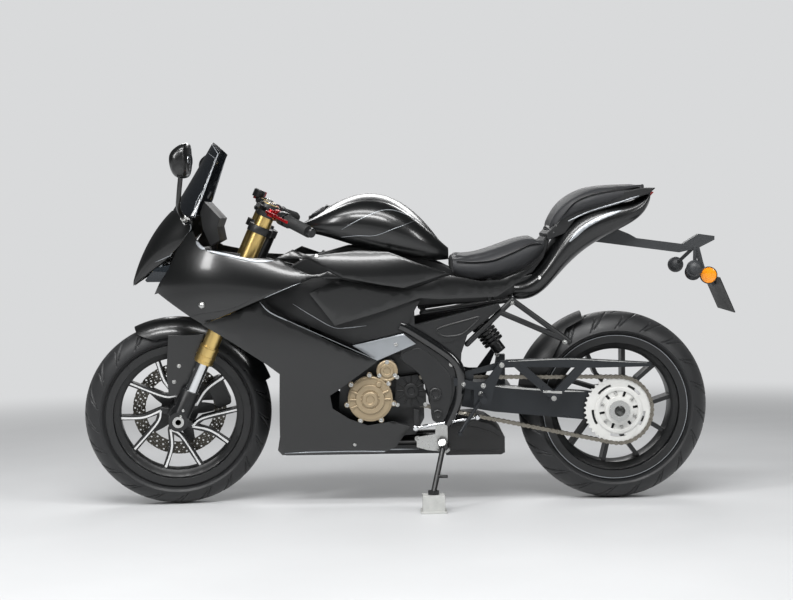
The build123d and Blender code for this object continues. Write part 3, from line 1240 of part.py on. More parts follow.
with BuildPart() as rear_hugger:
    axle = (WHEELBASE, 0, REAR_RADIUS)
    upright = Plane(origin=axle, x_dir=(0, 1, 0), z_dir=(1, 0, 0))
    profile = arch(upright, HUGGER_HALF, HUGGER_SIDE, HUGGER_CROWN)
    revolve(profile, axis=Axis(axle, (0, -1, 0)), revolution_arc=HUGGER_SWEEP)
    trim_to(outline(HUGGER_OUTLINE_SHARES, (HUGGER_X, HUGGER_Z), HUGGER_LENGTH, HUGGER_HEIGHT))
    stay = outline(HUGGER_STAY_SHARES, (HUGGER_X, HUGGER_Z), HUGGER_LENGTH, HUGGER_HEIGHT)
    slab(stay, -HUGGER_HALF + FENDER_WALL * 2, -HUGGER_HALF)

# Chain

def chain_loop():
    """Each roller's centre, outward direction, and whether the rear sprocket's teeth reach it."""
    small = pitch_radius(FRONT_TEETH)
    large = pitch_radius(REAR_TEETH)
    front = Vector(OUTPUT_X, OUTPUT_Z)
    rear = Vector(WHEELBASE, REAR_RADIUS)
    gap = rear - front
    tilt = math.atan2(gap.Y, gap.X)
    lap = math.acos((small - large) / gap.length)
    straight = gap.length * math.sin(lap)
    rear_wrap = large * 2 * lap
    front_wrap = small * 2 * (math.pi - lap)
    total = straight * 2 + rear_wrap + front_wrap
    links = round(total / CHAIN_PITCH)
    rows = []
    for link in range(links):
        far = link * total / links
        if far < straight:
            out = tilt + lap
            start = front + Vector(math.cos(out), math.sin(out)) * small
            end = rear + Vector(math.cos(out), math.sin(out)) * large
            centre = start + (end - start) * (far / straight)
            meshed = straight - far < MESH_LINKS * CHAIN_PITCH
        elif far < straight + rear_wrap:
            out = tilt + lap - (far - straight) / large
            centre = rear + Vector(math.cos(out), math.sin(out)) * large
            meshed = True
        elif far < straight * 2 + rear_wrap:
            out = tilt - lap
            start = rear + Vector(math.cos(out), math.sin(out)) * large
            end = front + Vector(math.cos(out), math.sin(out)) * small
            centre = start + (end - start) * ((far - straight - rear_wrap) / straight)
            meshed = far - straight - rear_wrap < MESH_LINKS * CHAIN_PITCH
        else:
            out = tilt - lap - (far - straight * 2 - rear_wrap) / small
            centre = front + Vector(math.cos(out), math.sin(out)) * small
            meshed = False
        rows.append((centre, Vector(math.cos(out), math.sin(out)), meshed))
    return rows


rollers = chain_loop()
plate_inner = TOOTH_THICK / 2 + CHAIN_SIDE_GAP

with BuildPart() as drive_chain:
    for side in (-1, 1):
        face = CHAIN_PLACE + side * (plate_inner + PLATE_THICK / 2)
        with BuildSketch(Plane.XZ.offset(-face - PLATE_THICK / 2)):
            for reach in (PLATE_HEIGHT / 2, -PLATE_HEIGHT / 2):
                rim = [(centre + out * reach) for centre, out, meshed in rollers]
                with BuildLine():
                    Polyline(*rim, close=True)
                make_face(mode=Mode.ADD if reach > 0 else Mode.SUBTRACT)
        extrude(amount=PLATE_THICK)
    for centre, out, meshed in rollers:
        place = centre + out * (PLATE_HEIGHT / 2 - BRIDGE_INSET) if meshed else centre
        radius = BRIDGE_RADIUS if meshed else ROLLER_RADIUS
        disc_slab((place.X, place.Y), radius, CHAIN_PLACE + plate_inner, CHAIN_PLACE - plate_inner)

# Subframe, foot rests and tail

subframe_corner = (SUBFRAME_X, SUBFRAME_Z)
crosses = outline(SUBFRAME_CROSS_SHARES, subframe_corner, SUBFRAME_LENGTH, SUBFRAME_HEIGHT)

with BuildPart() as subframe:
    for side in (-1, 1):
        routes = [(SUBFRAME_RAIL_SHARES, SUBFRAME_HALF)]
        routes += [(shares, SUBFRAME_OUTER) for shares in SUBFRAME_STRUT_SHARES]
        for shares, y in routes:
            run = outline(shares, subframe_corner, SUBFRAME_LENGTH, SUBFRAME_HEIGHT)
            start, end = [(x, side * y, z) for x, z in run]
            rod(start, end, SUBFRAME_RADIUS)
            with Locations(start, end):
                Sphere(SUBFRAME_RADIUS)
        rail = side * SUBFRAME_HALF
        post_foot = PIVOT_PLATE_Z + PIVOT_PLATE_HEIGHT
        rod((SEAT_REST_X, rail, post_foot), (SEAT_REST_X, rail, SEAT_REST_Z), SUBFRAME_RADIUS)
    for (x, z), reach in zip(crosses, (SUBFRAME_OUTER, SUBFRAME_HALF)):
        rod((x, -reach, z), (x, reach, z), SUBFRAME_RADIUS)
    half = SUBFRAME_HALF
    rod((SEAT_REST_X, -half, SEAT_REST_Z), (SEAT_REST_X, half, SEAT_REST_Z), SUBFRAME_RADIUS)

with BuildPart() as footrests:
    for side in (-1, 1):
        corner = (REST_X, REST_Z)
        y = side * REST_PLACE
        hanger = outline(REST_OUTLINE_SHARES, corner, REST_LENGTH, REST_HEIGHT)
        slab(hanger, y + REST_THICK / 2, y - REST_THICK / 2)
        rod((PEG_X, y, PEG_Z), (PEG_X, y + side * PEG_LENGTH, PEG_Z), PEG_RADIUS)
        rod((PEDAL_X, y + side * REST_THICK, PEDAL_Z), (PEG_X, y + side * REST_THICK, PEG_Z), PEDAL_RADIUS)
        rod((PEDAL_X, y, PEDAL_Z), (PEDAL_X, y + side * PEDAL_LENGTH, PEDAL_Z), PEDAL_RADIUS)

# Body panels

with BuildPart() as nose_cowl:
    for station, half, edge, crown in NOSE_SECTION_SHARES:
        x = NOSE_X + station * NOSE_LENGTH
        low = NOSE_Z + edge * NOSE_HEIGHT
        top = NOSE_Z + crown * NOSE_HEIGHT
        y = half * NOSE_HALF
        with BuildSketch(Plane.YZ.offset(x)):
            with BuildLine():
                ThreePointArc((-y, low), (0, top), (y, low))
                Line((y, low), (y - PANEL_WALL, low - PANEL_WALL))
                Line((PANEL_WALL - y, low - PANEL_WALL), (-y, low))
                ThreePointArc((PANEL_WALL - y, low - PANEL_WALL), (0, top - PANEL_WALL),
                              (y - PANEL_WALL, low - PANEL_WALL))
            make_face()
    loft()
    trim_to(outline(NOSE_OUTLINE_SHARES, (NOSE_X, NOSE_Z), NOSE_LENGTH, NOSE_HEIGHT))

with BuildPart() as windscreen:
    for level, front, rear, half in SCREEN_SECTION_SHARES:
        z = SCREEN_Z + level * SCREEN_HEIGHT
        x = SCREEN_X + front * SCREEN_LENGTH
        back = SCREEN_X + rear * SCREEN_LENGTH
        y = half * SCREEN_HALF
        with BuildSketch(Plane.XY.offset(z)):
            with BuildLine():
                ThreePointArc((back, -y), (x, 0), (back, y))
                Line((back, y), (back, y - SCREEN_WALL))
                ThreePointArc((back, y - SCREEN_WALL), (x + SCREEN_WALL, 0), (back, SCREEN_WALL - y))
                Line((back, SCREEN_WALL - y), (back, -y))
            make_face()
    loft()
    trim_to(outline(SCREEN_OUTLINE_SHARES, (SCREEN_X, SCREEN_Z), SCREEN_LENGTH, SCREEN_HEIGHT))


def side_pair(sections, points, wall, seats=(), face=0):
    """A curved wall cut to its side outline, with bosses that reach in to a face, and its mirror image."""
    if seats:
        curved_wall(sections, SEAT_REACH)
        with BuildSketch(Plane.XZ.offset(face + RUNNING_GAP)) as bosses:
            with Locations(*seats):
                Circle(SEAT_RADIUS)
        extrude(bosses.sketch, amount=REACH, mode=Mode.INTERSECT)
    curved_wall(sections, wall)
    trim_to(points)
    mirror(about=Plane.XZ)


with BuildPart() as upper_fairings:
    corner = (UPPER_X, UPPER_Z)
    size = (UPPER_LENGTH, UPPER_HALF, UPPER_HEIGHT)
    rows = body_sections(UPPER_SECTION_SHARES, corner, size)
    seats = outline(UPPER_SEAT_SHARES, corner, UPPER_LENGTH, UPPER_HEIGHT)
    edge = outline(UPPER_OUTLINE_SHARES, corner, UPPER_LENGTH, UPPER_HEIGHT)
    side_pair(rows, edge, PANEL_WALL, seats, FAIRING_FACE)

with BuildPart() as lower_fairings:
    corner = (LOWER_X, LOWER_Z)
    size = (LOWER_LENGTH, LOWER_HALF, LOWER_HEIGHT)
    rows = body_sections(LOWER_SECTION_SHARES, corner, size)
    seats = outline(LOWER_SEAT_SHARES, corner, LOWER_LENGTH, LOWER_HEIGHT)
    edge = outline(LOWER_OUTLINE_SHARES, corner, LOWER_LENGTH, LOWER_HEIGHT)
    side_pair(rows, edge, PANEL_WALL, seats, RADIATOR_HALF)

with BuildPart() as vent_panels:
    corner = (VENT_X, VENT_Z)
    size = (VENT_LENGTH, VENT_HALF, VENT_HEIGHT)
    rows = body_sections(VENT_SECTION_SHARES, corner, size)
    seats = outline(VENT_SEAT_SHARES, corner, VENT_LENGTH, VENT_HEIGHT)
    face = spar_face(seats[0][0] + SEAT_RADIUS)
    edge = outline(VENT_OUTLINE_SHARES, corner, VENT_LENGTH, VENT_HEIGHT)
    side_pair(rows, edge, PANEL_WALL, seats, face)

with BuildPart() as tank_side_covers:
    corner = (COVER_X, COVER_Z)
    size = (COVER_LENGTH, COVER_HALF, COVER_HEIGHT)
    rows = body_sections(COVER_SECTION_SHARES, corner, size)
    seats = outline(COVER_SEAT_SHARES, corner, COVER_LENGTH, COVER_HEIGHT)
    edge = outline(COVER_OUTLINE_SHARES, corner, COVER_LENGTH, COVER_HEIGHT)
    side_pair(rows, edge, PANEL_WALL, seats, TANK_LUG_HALF)

with BuildPart() as side_panels:
    corner = (SIDE_X, SIDE_Z)
    size = (SIDE_LENGTH, SIDE_HALF, SIDE_HEIGHT)
    rows = body_sections(SIDE_SECTION_SHARES, corner, size)
    seats = outline(SIDE_SEAT_SHARES, corner, SIDE_LENGTH, SIDE_HEIGHT)
    face = VENT_HALF * VENT_FACE_SHARE
    edge = outline(SIDE_OUTLINE_SHARES, corner, SIDE_LENGTH, SIDE_HEIGHT)
    side_pair(rows, edge, PANEL_WALL, seats, face)

with BuildPart() as trim_panels:
    corner = (TRIM_X, TRIM_Z)
    size = (TRIM_LENGTH, TRIM_HALF, TRIM_HEIGHT)
    rows = body_sections(TRIM_SECTION_SHARES, corner, size)
    seats = outline(TRIM_SEAT_SHARES, corner, TRIM_LENGTH, TRIM_HEIGHT)
    edge = outline(TRIM_OUTLINE_SHARES, corner, TRIM_LENGTH, TRIM_HEIGHT)
    side_pair(rows, edge, PANEL_WALL, seats, PLATE_OUTER)

with BuildPart() as headlights:
    corner = (LAMP_X, LAMP_Z)
    size = (LAMP_LENGTH, LAMP_HALF, LAMP_HEIGHT)
    rows = body_sections(LAMP_SECTION_SHARES, corner, size)
    seats = outline(LAMP_SEAT_SHARES, corner, LAMP_LENGTH, LAMP_HEIGHT)
    edge = outline(LAMP_OUTLINE_SHARES, corner, LAMP_LENGTH, LAMP_HEIGHT)
    side_pair(rows, edge, LAMP_DEPTH, seats, LAMP_FACE)

with BuildPart() as belly_pan:
    with BuildSketch(Plane.YZ.offset(PAN_X)):
        with BuildLine():
            top = PAN_Z + PAN_HEIGHT
            floor = PAN_Z + PANEL_WALL
            Polyline((-PAN_TOP_HALF, top), (-PAN_HALF, PAN_Z), (PAN_HALF, PAN_Z), (PAN_TOP_HALF, top),
                     (PAN_TOP_HALF - PANEL_WALL, top), (PAN_HALF - PANEL_WALL, floor),
                     (PANEL_WALL - PAN_HALF, floor), (PANEL_WALL - PAN_TOP_HALF, top), close=True)
        make_face()
    extrude(amount=PAN_LENGTH)
    for side in (-1, 1):
        y = side * PAN_FOOT_PLACE
        rod((PAN_FOOT_X, y, PAN_Z), (PAN_FOOT_X, y, ENGINE_Z - RUNNING_GAP), PAN_FOOT_RADIUS)


def dome_sections(shares, corner, length, half, height):
    """Sections of a closed body from shares of its length, half width and height."""
    rows = []
    for station, bottom, side, top, crown in shares:
        pairs = [(y * half, corner[1] + z * height) for y, z in (bottom, side, top)]
        rows.append((corner[0] + station * length, *pairs, corner[1] + crown * height))
    return rows


with BuildPart() as fuel_tank:
    domed_body(dome_sections(TANK_SECTION_SHARES, (TANK_X, TANK_Z), TANK_LENGTH, TANK_HALF, TANK_HEIGHT))
    foot_end = TANK_REST_Z + STAY_RADIUS + RUNNING_GAP
    rod((TANK_REST_X, 0, TANK_FOOT_TOP), (TANK_REST_X, 0, foot_end), TANK_FOOT_RADIUS)
    rod((TANK_LUG_X, -TANK_LUG_HALF, TANK_LUG_Z), (TANK_LUG_X, TANK_LUG_HALF, TANK_LUG_Z), TANK_LUG_RADIUS)

with BuildPart() as rider_seat:
    domed_body(dome_sections(SEAT_SECTION_SHARES, (SEAT_X, SEAT_Z), SEAT_LENGTH, SEAT_HALF, SEAT_HEIGHT))

with BuildPart() as passenger_seat:
    domed_body(dome_sections(PAD_SECTION_SHARES, (PAD_X, PAD_Z), PAD_LENGTH, PAD_HALF, PAD_HEIGHT))

with BuildPart() as tail_cowl:
    domed_body(dome_sections(TAIL_SECTION_SHARES, (TAIL_X, TAIL_Z), TAIL_LENGTH, TAIL_HALF, TAIL_HEIGHT))
    pocket = outline(GLOW_OUTLINE_SHARES, (GLOW_X, GLOW_Z), GLOW_LENGTH, GLOW_HEIGHT)
    slab(pocket, GLOW_HALF + RUNNING_GAP, -GLOW_HALF - RUNNING_GAP, Mode.SUBTRACT, RUNNING_GAP)
    tube = Vector(crosses[0][0], 0, crosses[0][1])
    run = (Vector(TAIL_FOOT_X, 0, TAIL_FOOT_Z) - tube).normalized()
    rod((TAIL_FOOT_X, 0, TAIL_FOOT_Z), tuple(tube + run * (SUBFRAME_RADIUS + RUNNING_GAP)), STAY_RADIUS)

with BuildPart() as tail_lamp:
    slab(outline(GLOW_OUTLINE_SHARES, (GLOW_X, GLOW_Z), GLOW_LENGTH, GLOW_HEIGHT), GLOW_HALF, -GLOW_HALF)

with BuildPart() as plate_holder:
    corner = (HOLDER_X, HOLDER_Z)
    slab(outline(HOLDER_OUTLINE_SHARES, corner, HOLDER_LENGTH, HOLDER_HEIGHT), HOLDER_HALF, -HOLDER_HALF)
    hanger = outline(HANGER_SHARES, corner, HOLDER_LENGTH, HOLDER_HEIGHT)
    slab(strip(hanger, [HANGER_THICK / 2] * len(hanger)), HOLDER_HALF, -HOLDER_HALF)
    for side in (-1, 1):
        root = outline([BLINKER_ROOT_SHARE], corner, HOLDER_LENGTH, HOLDER_HEIGHT)[0]
        tip = outline([BLINKER_TIP_SHARE], corner, HOLDER_LENGTH, HOLDER_HEIGHT)[0]
        end = (tip[0], side * BLINKER_PLACE, tip[1])
        rod((root[0], 0, root[1]), end, BLINKER_STALK)
        with Locations(end):
            Sphere(BLINKER_RADIUS)
        lens = outline([REFLECTOR_SHARE], corner, HOLDER_LENGTH, HOLDER_HEIGHT)[0]
        rod((lens[0], 0, lens[1]), (lens[0], side * REFLECTOR_PLACE, lens[1]), BLINKER_STALK)
        rod((lens[0], side * REFLECTOR_PLACE, lens[1]),
            (lens[0], side * (REFLECTOR_PLACE + REFLECTOR_THICK), lens[1]), REFLECTOR_RADIUS)

with BuildPart() as number_plate:
    plate = strip(outline(PLATE_SHARES, corner, HOLDER_LENGTH, HOLDER_HEIGHT), [PLATE_SHEET / 2] * 2)
    slab(plate, PLATE_HALF, -PLATE_HALF)

with BuildPart() as mirrors:
    for side in (-1, 1):
        head = outline(MIRROR_OUTLINE_SHARES, (MIRROR_X, MIRROR_Z), MIRROR_LENGTH, MIRROR_HEIGHT)
        near = side * MIRROR_INNER
        far = side * MIRROR_OUTER
        slab(head, max(near, far), min(near, far))
        foot = (STALK_X, side * STALK_PLACE, STALK_Z)
        elbow = (STALK_X - STALK_AHEAD, side * (STALK_PLACE + STALK_OUT), STALK_Z + STALK_RISE)
        top = (MIRROR_X + MIRROR_LENGTH / 2, side * (MIRROR_INNER + STALK_RADIUS), MIRROR_Z + STALK_RADIUS)
        bent_tube([foot, elbow, top], STALK_BEND, STALK_RADIUS)

with BuildPart() as instruments:
    dash = outline(DASH_OUTLINE_SHARES, (DASH_X, DASH_Z), DASH_LENGTH, DASH_HEIGHT)
    slab(dash, DASH_HALF, -DASH_HALF)
    rod((DASH_FOOT_X, 0, DASH_Z + STAY_RADIUS), (DASH_FOOT_X, 0, DASH_FOOT_Z), STAY_RADIUS)

# Place, name and export each piece

os.makedirs("parts", exist_ok=True)

front_tyre.part.move(FRONT_WHEEL_PLACE)
front_tyre.part.label = "front_tyre"
export_step(front_tyre.part, "parts/front_tyre.step")

front_rim.part.move(FRONT_WHEEL_PLACE)
front_rim.part.label = "front_rim"
export_step(front_rim.part, "parts/front_rim.step")

front_disc.part.move(FRONT_WHEEL_PLACE)
front_disc.part.label = "front_disc"
export_step(front_disc.part, "parts/front_disc.step")

rear_tyre.part.move(REAR_WHEEL_PLACE)
rear_tyre.part.label = "rear_tyre"
export_step(rear_tyre.part, "parts/rear_tyre.step")

rear_rim.part.move(REAR_WHEEL_PLACE)
rear_rim.part.label = "rear_rim"
export_step(rear_rim.part, "parts/rear_rim.step")

rear_axle.part.move(REAR_WHEEL_PLACE)
rear_axle.part.label = "rear_axle"
export_step(rear_axle.part, "parts/rear_axle.step")

rear_sprocket.part.move(REAR_WHEEL_PLACE)
rear_sprocket.part.label = "rear_sprocket"
export_step(rear_sprocket.part, "parts/rear_sprocket.step")

fork_tubes.part.move(FORK_PLACE)
fork_tubes.part.label = "fork_tubes"
export_step(fork_tubes.part, "parts/fork_tubes.step")

stanchions.part.move(FORK_PLACE)
stanchions.part.label = "stanchions"
export_step(stanchions.part, "parts/stanchions.step")

fork_bottoms.part.move(FORK_PLACE)
fork_bottoms.part.label = "fork_bottoms"
export_step(fork_bottoms.part, "parts/fork_bottoms.step")

front_axle.part.move(FORK_PLACE)
front_axle.part.label = "front_axle"
export_step(front_axle.part, "parts/front_axle.step")

triple_clamps.part.move(FORK_PLACE)
triple_clamps.part.label = "triple_clamps"
export_step(triple_clamps.part, "parts/triple_clamps.step")

handlebars.part.move(FORK_PLACE)
handlebars.part.label = "handlebars"
export_step(handlebars.part, "parts/handlebars.step")

grips.part.move(FORK_PLACE)
grips.part.label = "grips"
export_step(grips.part, "parts/grips.step")

levers.part.move(FORK_PLACE)
levers.part.label = "levers"
export_step(levers.part, "parts/levers.step")

front_fender.part.move(FRONT_WHEEL_PLACE)
front_fender.part.label = "front_fender"
export_step(front_fender.part, "parts/front_fender.step")

front_caliper.part.move(FRONT_WHEEL_PLACE)
front_caliper.part.label = "front_caliper"
export_step(front_caliper.part, "parts/front_caliper.step")

side_stand.part.move(PARKED)
side_stand.part.label = "side_stand"
export_step(side_stand.part, "parts/side_stand.step")

stand_bracket.part.move(PARKED)
stand_bracket.part.label = "stand_bracket"
export_step(stand_bracket.part, "parts/stand_bracket.step")

stand_block.part.label = "stand_block"
export_step(stand_block.part, "parts/stand_block.step")

engine_block.part.move(PARKED)
engine_block.part.label = "engine_block"
export_step(engine_block.part, "parts/engine_block.step")

engine_covers.part.move(PARKED)
engine_covers.part.label = "engine_covers"
export_step(engine_covers.part, "parts/engine_covers.step")

sprocket_guard.part.move(PARKED)
sprocket_guard.part.label = "sprocket_guard"
export_step(sprocket_guard.part, "parts/sprocket_guard.step")

exhaust.part.move(PARKED)
exhaust.part.label = "exhaust"
export_step(exhaust.part, "parts/exhaust.step")

radiator.part.move(PARKED)
radiator.part.label = "radiator"
export_step(radiator.part, "parts/radiator.step")

main_frame.part.move(PARKED)
main_frame.part.label = "main_frame"
export_step(main_frame.part, "parts/main_frame.step")

swingarm.part.move(PARKED)
swingarm.part.label = "swingarm"
export_step(swingarm.part, "parts/swingarm.step")

shock_absorber.part.move(PARKED)
shock_absorber.part.label = "shock_absorber"
export_step(shock_absorber.part, "parts/shock_absorber.step")

rear_hugger.part.move(PARKED)
rear_hugger.part.label = "rear_hugger"
export_step(rear_hugger.part, "parts/rear_hugger.step")

drive_chain.part.move(PARKED)
drive_chain.part.label = "drive_chain"
export_step(drive_chain.part, "parts/drive_chain.step")

subframe.part.move(PARKED)
subframe.part.label = "subframe"
export_step(subframe.part, "parts/subframe.step")

footrests.part.move(PARKED)
footrests.part.label = "footrests"
export_step(footrests.part, "parts/footrests.step")

nose_cowl.part.move(PARKED)
nose_cowl.part.label = "nose_cowl"
export_step(nose_cowl.part, "parts/nose_cowl.step")

windscreen.part.move(PARKED)
windscreen.part.label = "windscreen"
export_step(windscreen.part, "parts/windscreen.step")

upper_fairings.part.move(PARKED)
upper_fairings.part.label = "upper_fairings"
export_step(upper_fairings.part, "parts/upper_fairings.step")

lower_fairings.part.move(PARKED)
lower_fairings.part.label = "lower_fairings"
export_step(lower_fairings.part, "parts/lower_fairings.step")

vent_panels.part.move(PARKED)
vent_panels.part.label = "vent_panels"
export_step(vent_panels.part, "parts/vent_panels.step")

tank_side_covers.part.move(PARKED)
tank_side_covers.part.label = "tank_side_covers"
export_step(tank_side_covers.part, "parts/tank_side_covers.step")

side_panels.part.move(PARKED)
side_panels.part.label = "side_panels"
export_step(side_panels.part, "parts/side_panels.step")

trim_panels.part.move(PARKED)
trim_panels.part.label = "trim_panels"
export_step(trim_panels.part, "parts/trim_panels.step")

headlights.part.move(PARKED)
headlights.part.label = "headlights"
export_step(headlights.part, "parts/headlights.step")

belly_pan.part.move(PARKED)
belly_pan.part.label = "belly_pan"
export_step(belly_pan.part, "parts/belly_pan.step")

fuel_tank.part.move(PARKED)
fuel_tank.part.label = "fuel_tank"
export_step(fuel_tank.part, "parts/fuel_tank.step")

rider_seat.part.move(PARKED)
rider_seat.part.label = "rider_seat"
export_step(rider_seat.part, "parts/rider_seat.step")

passenger_seat.part.move(PARKED)
passenger_seat.part.label = "passenger_seat"
export_step(passenger_seat.part, "parts/passenger_seat.step")

tail_cowl.part.move(PARKED)
tail_cowl.part.label = "tail_cowl"
export_step(tail_cowl.part, "parts/tail_cowl.step")

tail_lamp.part.move(PARKED)
tail_lamp.part.label = "tail_lamp"
export_step(tail_lamp.part, "parts/tail_lamp.step")

plate_holder.part.move(PARKED)
plate_holder.part.label = "plate_holder"
export_step(plate_holder.part, "parts/plate_holder.step")

number_plate.part.move(PARKED)
number_plate.part.label = "number_plate"
export_step(number_plate.part, "parts/number_plate.step")

mirrors.part.move(PARKED)
mirrors.part.label = "mirrors"
export_step(mirrors.part, "parts/mirrors.step")

instruments.part.move(PARKED)
instruments.part.label = "instruments"
export_step(instruments.part, "parts/instruments.step")
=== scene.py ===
"""Sport bike parked on its side stand: the finishes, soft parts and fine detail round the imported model.

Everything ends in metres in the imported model's frame, with X to the rear, Y to the rider's right, Z up and
the origin in the rear axle. Shapes are worked out in millimetres, upright, with X from the front axle and Z
from the ground, and one matrix leans them as the bike parks.
"""
import logging
import math
from collections.abc import Iterable, Sequence
from dataclasses import dataclass
from enum import Enum
from typing import Any

import bmesh
import bpy
import numpy as np
from mathutils import Matrix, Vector
from mathutils.bvhtree import BVHTree


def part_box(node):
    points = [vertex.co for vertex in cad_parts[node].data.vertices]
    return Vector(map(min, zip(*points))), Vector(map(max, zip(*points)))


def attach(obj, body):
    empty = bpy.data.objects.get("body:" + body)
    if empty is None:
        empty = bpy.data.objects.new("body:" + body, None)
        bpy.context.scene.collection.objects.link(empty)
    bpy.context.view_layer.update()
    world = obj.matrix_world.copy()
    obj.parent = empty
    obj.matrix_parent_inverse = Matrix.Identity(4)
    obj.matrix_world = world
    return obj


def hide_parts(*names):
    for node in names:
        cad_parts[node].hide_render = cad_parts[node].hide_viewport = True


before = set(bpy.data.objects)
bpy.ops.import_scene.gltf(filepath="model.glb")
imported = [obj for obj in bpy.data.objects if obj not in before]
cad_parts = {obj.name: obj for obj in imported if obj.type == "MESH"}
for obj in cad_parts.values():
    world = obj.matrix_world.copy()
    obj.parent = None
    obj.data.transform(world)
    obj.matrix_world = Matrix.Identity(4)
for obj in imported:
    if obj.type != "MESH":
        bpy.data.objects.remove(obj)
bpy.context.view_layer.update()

MM = 0.001
TURN = 2 * math.pi
SHARP_ANGLE = math.radians(32)
WELD_DISTANCE = 1e-6
NODE_WELD_DISTANCE = 1e-5
REACH = 700.0
log = logging.getLogger("bike")

Array = np.ndarray
Points = Sequence[Sequence[float]]


class Ride(Enum):
    """The moving bodies that pieces ride on."""

    CHASSIS = "chassis"
    STEERING = "steering"
    FRONT_WHEEL = "front_wheel"
    REAR_WHEEL = "rear_wheel"


# Places

def shift(x: float, y: float, z: float) -> Array:
    """Matrix that moves by x, y and z."""
    matrix = np.eye(4)
    matrix[:3, 3] = (x, y, z)
    return matrix


def framed(x_axis: Array, y_axis: Array, z_axis: Array, origin: Sequence[float]) -> Array:
    """Matrix with three axes as its columns and a point as its origin."""
    matrix = np.eye(4)
    matrix[:3] = np.stack([x_axis, y_axis, z_axis, origin], -1)
    return matrix


def turn_about(axis: Sequence[float], degrees: float) -> Array:
    """Matrix that turns about an axis through the origin.

    Args:
        axis: direction of the axis.
        degrees: angle by the right-hand rule.

    Returns:
        A 4 by 4 matrix from the formula of Rodrigues: R = I + sin a K + (1 - cos a) K K.
    """
    x, y, z = np.asarray(axis, float) / np.linalg.norm(axis)
    cross = np.array([[0, -z, y], [z, 0, -x], [-y, x, 0]])
    angle = math.radians(degrees)
    matrix = np.eye(4)
    matrix[:3, :3] += math.sin(angle) * cross + (1 - math.cos(angle)) * cross @ cross
    return matrix


@dataclass(frozen=True)
class Stance:
    """How the bike stands: its wheels, rake and lean, in millimetres and degrees."""

    wheelbase: float = 1415.0
    front_radius: float = 300.0
    rear_radius: float = 306.0
    rear_crown: float = 80.0
    rake: float = 24.5
    fork_offset: float = 30.0
    lean: float = 5.0
    steer: float = 9.0

    def parked(self) -> Array:
        """Matrix from the upright bike to the leaning one."""
        lean = math.radians(self.lean)
        lift = (-self.wheelbase, self.rear_radius * math.sin(lean), -self.rear_radius * math.cos(lean))
        return shift(*lift) @ turn_about((1, 0, 0), self.lean)

    def fork(self) -> Array:
        """Matrix from a frame along the fork leg, with the axle at its origin, to the parked bike."""
        rake = shift(0, 0, self.front_radius) @ turn_about((0, 1, 0), self.rake)
        turned = shift(self.fork_offset, 0, 0) @ turn_about((0, 0, 1), self.steer)
        return self.parked() @ rake @ turned @ shift(-self.fork_offset, 0, 0)

    def front_wheel(self) -> Array:
        """Matrix from a frame at the front axle, upright when unsteered, to the parked bike."""
        rake = shift(0, 0, self.front_radius) @ turn_about((0, 1, 0), self.rake)
        return self.fork() @ np.linalg.inv(rake) @ shift(0, 0, self.front_radius)

    def rear_wheel(self) -> Array:
        """Matrix from a frame at the rear axle to the parked bike."""
        return self.parked() @ shift(self.wheelbase, 0, self.rear_radius)

    def ground(self) -> float:
        """Height of the ground under the leaning rear tyre, in millimetres."""
        lean = math.radians(self.lean)
        return -self.rear_radius * math.cos(lean) - self.rear_crown * (1 - math.cos(lean))


STANCE = Stance()
PARKED = STANCE.parked()
FORK = STANCE.fork()
FRONT_WHEEL = STANCE.front_wheel()
REAR_WHEEL = STANCE.rear_wheel()


# Surfaces

@dataclass
class Skin:
    """Vertices in millimetres, and faces, of a mesh in the making."""

    points: Array
    faces: list[tuple[int, ...]]

    def moved(self, matrix: Array) -> "Skin":
        """The same skin after a 4 by 4 matrix."""
        return Skin(self.points @ matrix[:3, :3].T + matrix[:3, 3], self.faces)


def joined(skins: Iterable[Skin]) -> Skin:
    """Several skins as one, with their faces renumbered."""
    points: list[Array] = []
    faces: list[tuple[int, ...]] = []
    count = 0
    for skin in skins:
        points.append(skin.points)
        faces += [tuple(i + count for i in face) for face in skin.faces]
        count += len(skin.points)
    return Skin(np.concatenate(points), faces)


def grid(points: Array, round_u: bool = False, round_v: bool = False) -> Skin:
    """Skin over a grid of points.

    Args:
        points: array of shape (u, v, 3).
        round_u: whether the last row joins the first.
        round_v: whether the last column joins the first.

    Returns:
        A skin of quads, where quad (i, j) has corners (i, j), (i, j+1), (i+1, j+1) and (i+1, j).
    """
    rows, columns = points.shape[:2]
    i = np.arange(rows if round_u else rows - 1)[:, None]
    j = np.arange(columns if round_v else columns - 1)[None, :]
    following, beside = (i + 1) % rows, (j + 1) % columns
    corners = (i * columns + j, i * columns + beside, following * columns + beside, following * columns + j)
    quads = np.stack([np.broadcast_to(c, (i.size, j.size)) for c in corners], axis=-1).reshape(-1, 4)
    return Skin(points.reshape(-1, 3).astype(float), [tuple(q) for q in quads.tolist()])


def capped(skin: Skin, sides: int) -> Skin:
    """A skin of rings of so many points, with its first and last ring closed."""
    last = len(skin.points) - sides
    skin.faces += [tuple(range(sides - 1, -1, -1)), tuple(range(last, last + sides))]
    return skin


def unit(vectors: Array) -> Array:
    """Vectors along the last axis, each divided by its length."""
    return vectors / np.maximum(np.linalg.norm(vectors, axis=-1, keepdims=True), 1e-12)


def spun(profile: Points, steps: int = 64) -> Skin:
    """Profile turned about the Y axis.

    Args:
        profile: pairs of radius and place along Y, in order round the section.
        steps: columns round the turn.

    Returns:
        Points (r cos t, y, r sin t) for each profile point and angle t.
    """
    pairs = np.asarray(profile, float)
    angle = np.radians(np.linspace(0, 360, steps, endpoint=False))
    x = pairs[:, :1] * np.cos(angle)
    z = pairs[:, :1] * np.sin(angle)
    y = np.broadcast_to(pairs[:, 1:], x.shape)
    return grid(np.stack([x, y, z], -1), round_v=True)


